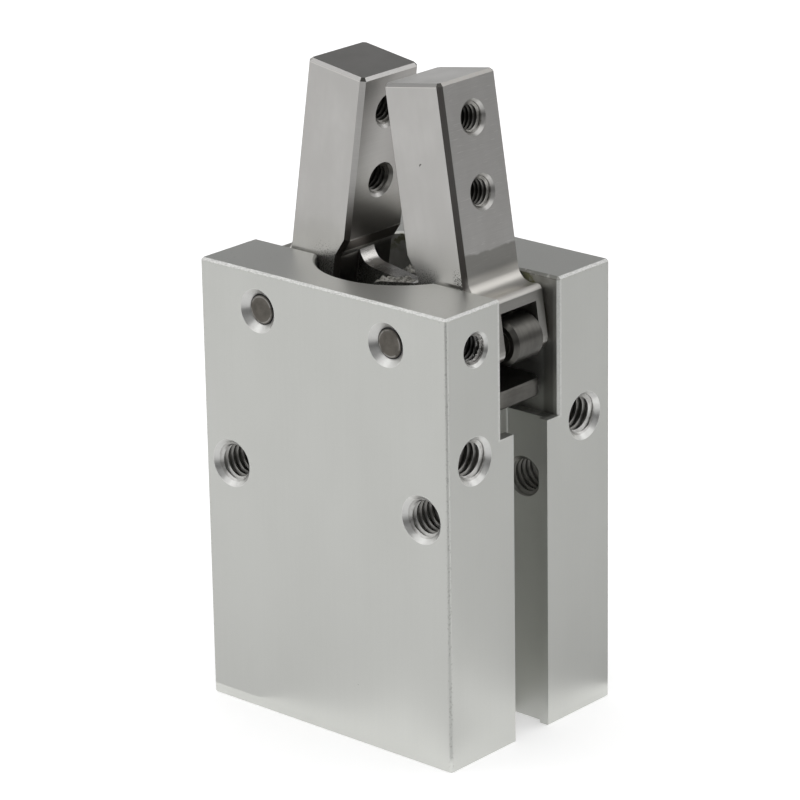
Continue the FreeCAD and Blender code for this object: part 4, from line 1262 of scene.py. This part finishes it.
def make_card(name, turns, profile):
    """Curved card round the part, whose tone follows its profile."""
    points = []
    tones = []
    for number in range(CARD_STEPS + 1):
        turn = math.radians(turns[0] + (turns[1] - turns[0]) * number / CARD_STEPS)
        for reach, height, tone in profile:
            points.append((reach * math.cos(turn), reach * math.sin(turn), CAD_BOX[0].z + height))
            tones.append(tone)
    rows = len(profile)
    faces = []
    for number in range(CARD_STEPS):
        for row in range(rows - 1):
            first = number * rows + row
            faces.append((first, first + rows, first + rows + 1, first + 1))
    data = bpy.data.meshes.new(name)
    data.from_pydata(points, [], faces)
    data.attributes.new("tone", "FLOAT", "POINT").data.foreach_set("value", tones)
    material, tree = bare_material(name)
    tone = add_node(tree, "ShaderNodeAttribute")
    tone.attribute_name = "tone"
    glow = add_node(tree, "ShaderNodeEmission")
    tree.links.new(tone.outputs["Fac"], glow.inputs["Strength"])
    tree.links.new(glow.outputs[0], tree.nodes["Material Output"].inputs["Surface"])
    card = add_object(name, data, material)
    card.visible_camera = False
    card.visible_diffuse = False
    card.visible_shadow = False


def make_room(stage):
    world = bpy.data.worlds.new("studio")
    world.use_nodes = True
    tree = world.node_tree
    room = tree.nodes["Background"]
    room.inputs["Color"].default_value = (1, 1, 1, 1)
    room.inputs["Strength"].default_value = stage.room_light
    white = add_node(tree, "ShaderNodeBackground", Color=(1, 1, 1, 1), Strength=1.0)
    either = add_node(tree, "ShaderNodeMixShader", seen_rays(tree), room.outputs[0], white.outputs[0])
    tree.links.new(either.outputs[0], tree.nodes["World Output"].inputs["Surface"])
    bpy.context.scene.world = world


def make_lamp(name, place, power):
    """Square soft lamp that looks at the middle of the part."""
    data = bpy.data.lights.new(name, "AREA")
    data.size = LAMP_SIZE
    data.energy = power
    lamp = bpy.data.objects.new(name, data)
    lamp.location = place
    aim = (CAD_BOX[0] + CAD_BOX[1]) / 2 - place
    lamp.rotation_euler = aim.to_track_quat("-Z", "Y").to_euler()
    bpy.context.scene.collection.objects.link(lamp)


def make_camera(stage):
    turn, height, roll = stage.azimuth, stage.elevation, stage.roll
    back = Vector((math.sin(turn) * math.cos(height), -math.cos(turn) * math.cos(height), math.sin(height)))
    level = Vector((math.cos(turn), math.sin(turn), 0))
    upward = back.cross(level)
    right = level * math.cos(roll) + upward * math.sin(roll)
    upward = back.cross(right)
    data = bpy.data.cameras.new("camera")
    data.lens = stage.lens
    data.sensor_width = SENSOR_MM
    data.clip_start = CLIP_START
    camera = bpy.data.objects.new("camera", data)
    axes = Matrix((right, upward, back)).transposed().to_4x4()
    camera.matrix_world = Matrix.Translation(Vector(stage.eye)) @ axes
    bpy.context.scene.collection.objects.link(camera)
    bpy.context.scene.camera = camera


# Registration

OPERATORS = (
    GRIPPER_OT_stage,
    GRIPPER_OT_body,
    GRIPPER_OT_body_threads,
    GRIPPER_OT_fingers,
    GRIPPER_OT_finger_threads,
    GRIPPER_OT_grease,
    GRIPPER_OT_pins,
    GRIPPER_OT_pistons,
    GRIPPER_OT_screws,
)


class GRIPPER_PT_build(bpy.types.Panel):
    """Lists the gripper's operators and settings"""

    bl_idname = "GRIPPER_PT_build"
    bl_label = "Angular gripper"
    bl_space_type = "VIEW_3D"
    bl_region_type = "UI"
    bl_category = "Gripper"

    def draw(self, context):
        for operator in OPERATORS:
            self.layout.operator(operator.bl_idname)
        scene = context.scene
        for settings in (scene.gripper_sizes, scene.gripper_colours, scene.gripper_stage):
            box = self.layout.box()
            for name in settings.bl_rna.properties.keys():
                if name not in ("rna_type", "name"):
                    box.prop(settings, name)


CLASSES = (GripperSizes, GripperColours, GripperStage, *OPERATORS, GRIPPER_PT_build)


def register():
    for cls in CLASSES:
        bpy.utils.register_class(cls)
    bpy.types.Scene.gripper_sizes = PointerProperty(type=GripperSizes)
    bpy.types.Scene.gripper_colours = PointerProperty(type=GripperColours)
    bpy.types.Scene.gripper_stage = PointerProperty(type=GripperStage)


def unregister():
    del bpy.types.Scene.gripper_stage
    del bpy.types.Scene.gripper_colours
    del bpy.types.Scene.gripper_sizes
    for cls in reversed(CLASSES):
        bpy.utils.unregister_class(cls)


def main():
    register()
    bpy.ops.gripper.stage()
    bpy.ops.gripper.body()
    bpy.ops.gripper.body_threads()
    bpy.ops.gripper.fingers()
    bpy.ops.gripper.finger_threads()
    bpy.ops.gripper.grease()
    bpy.ops.gripper.pins()
    bpy.ops.gripper.pistons()
    bpy.ops.gripper.screws()


if __name__ == "__main__":
    main()
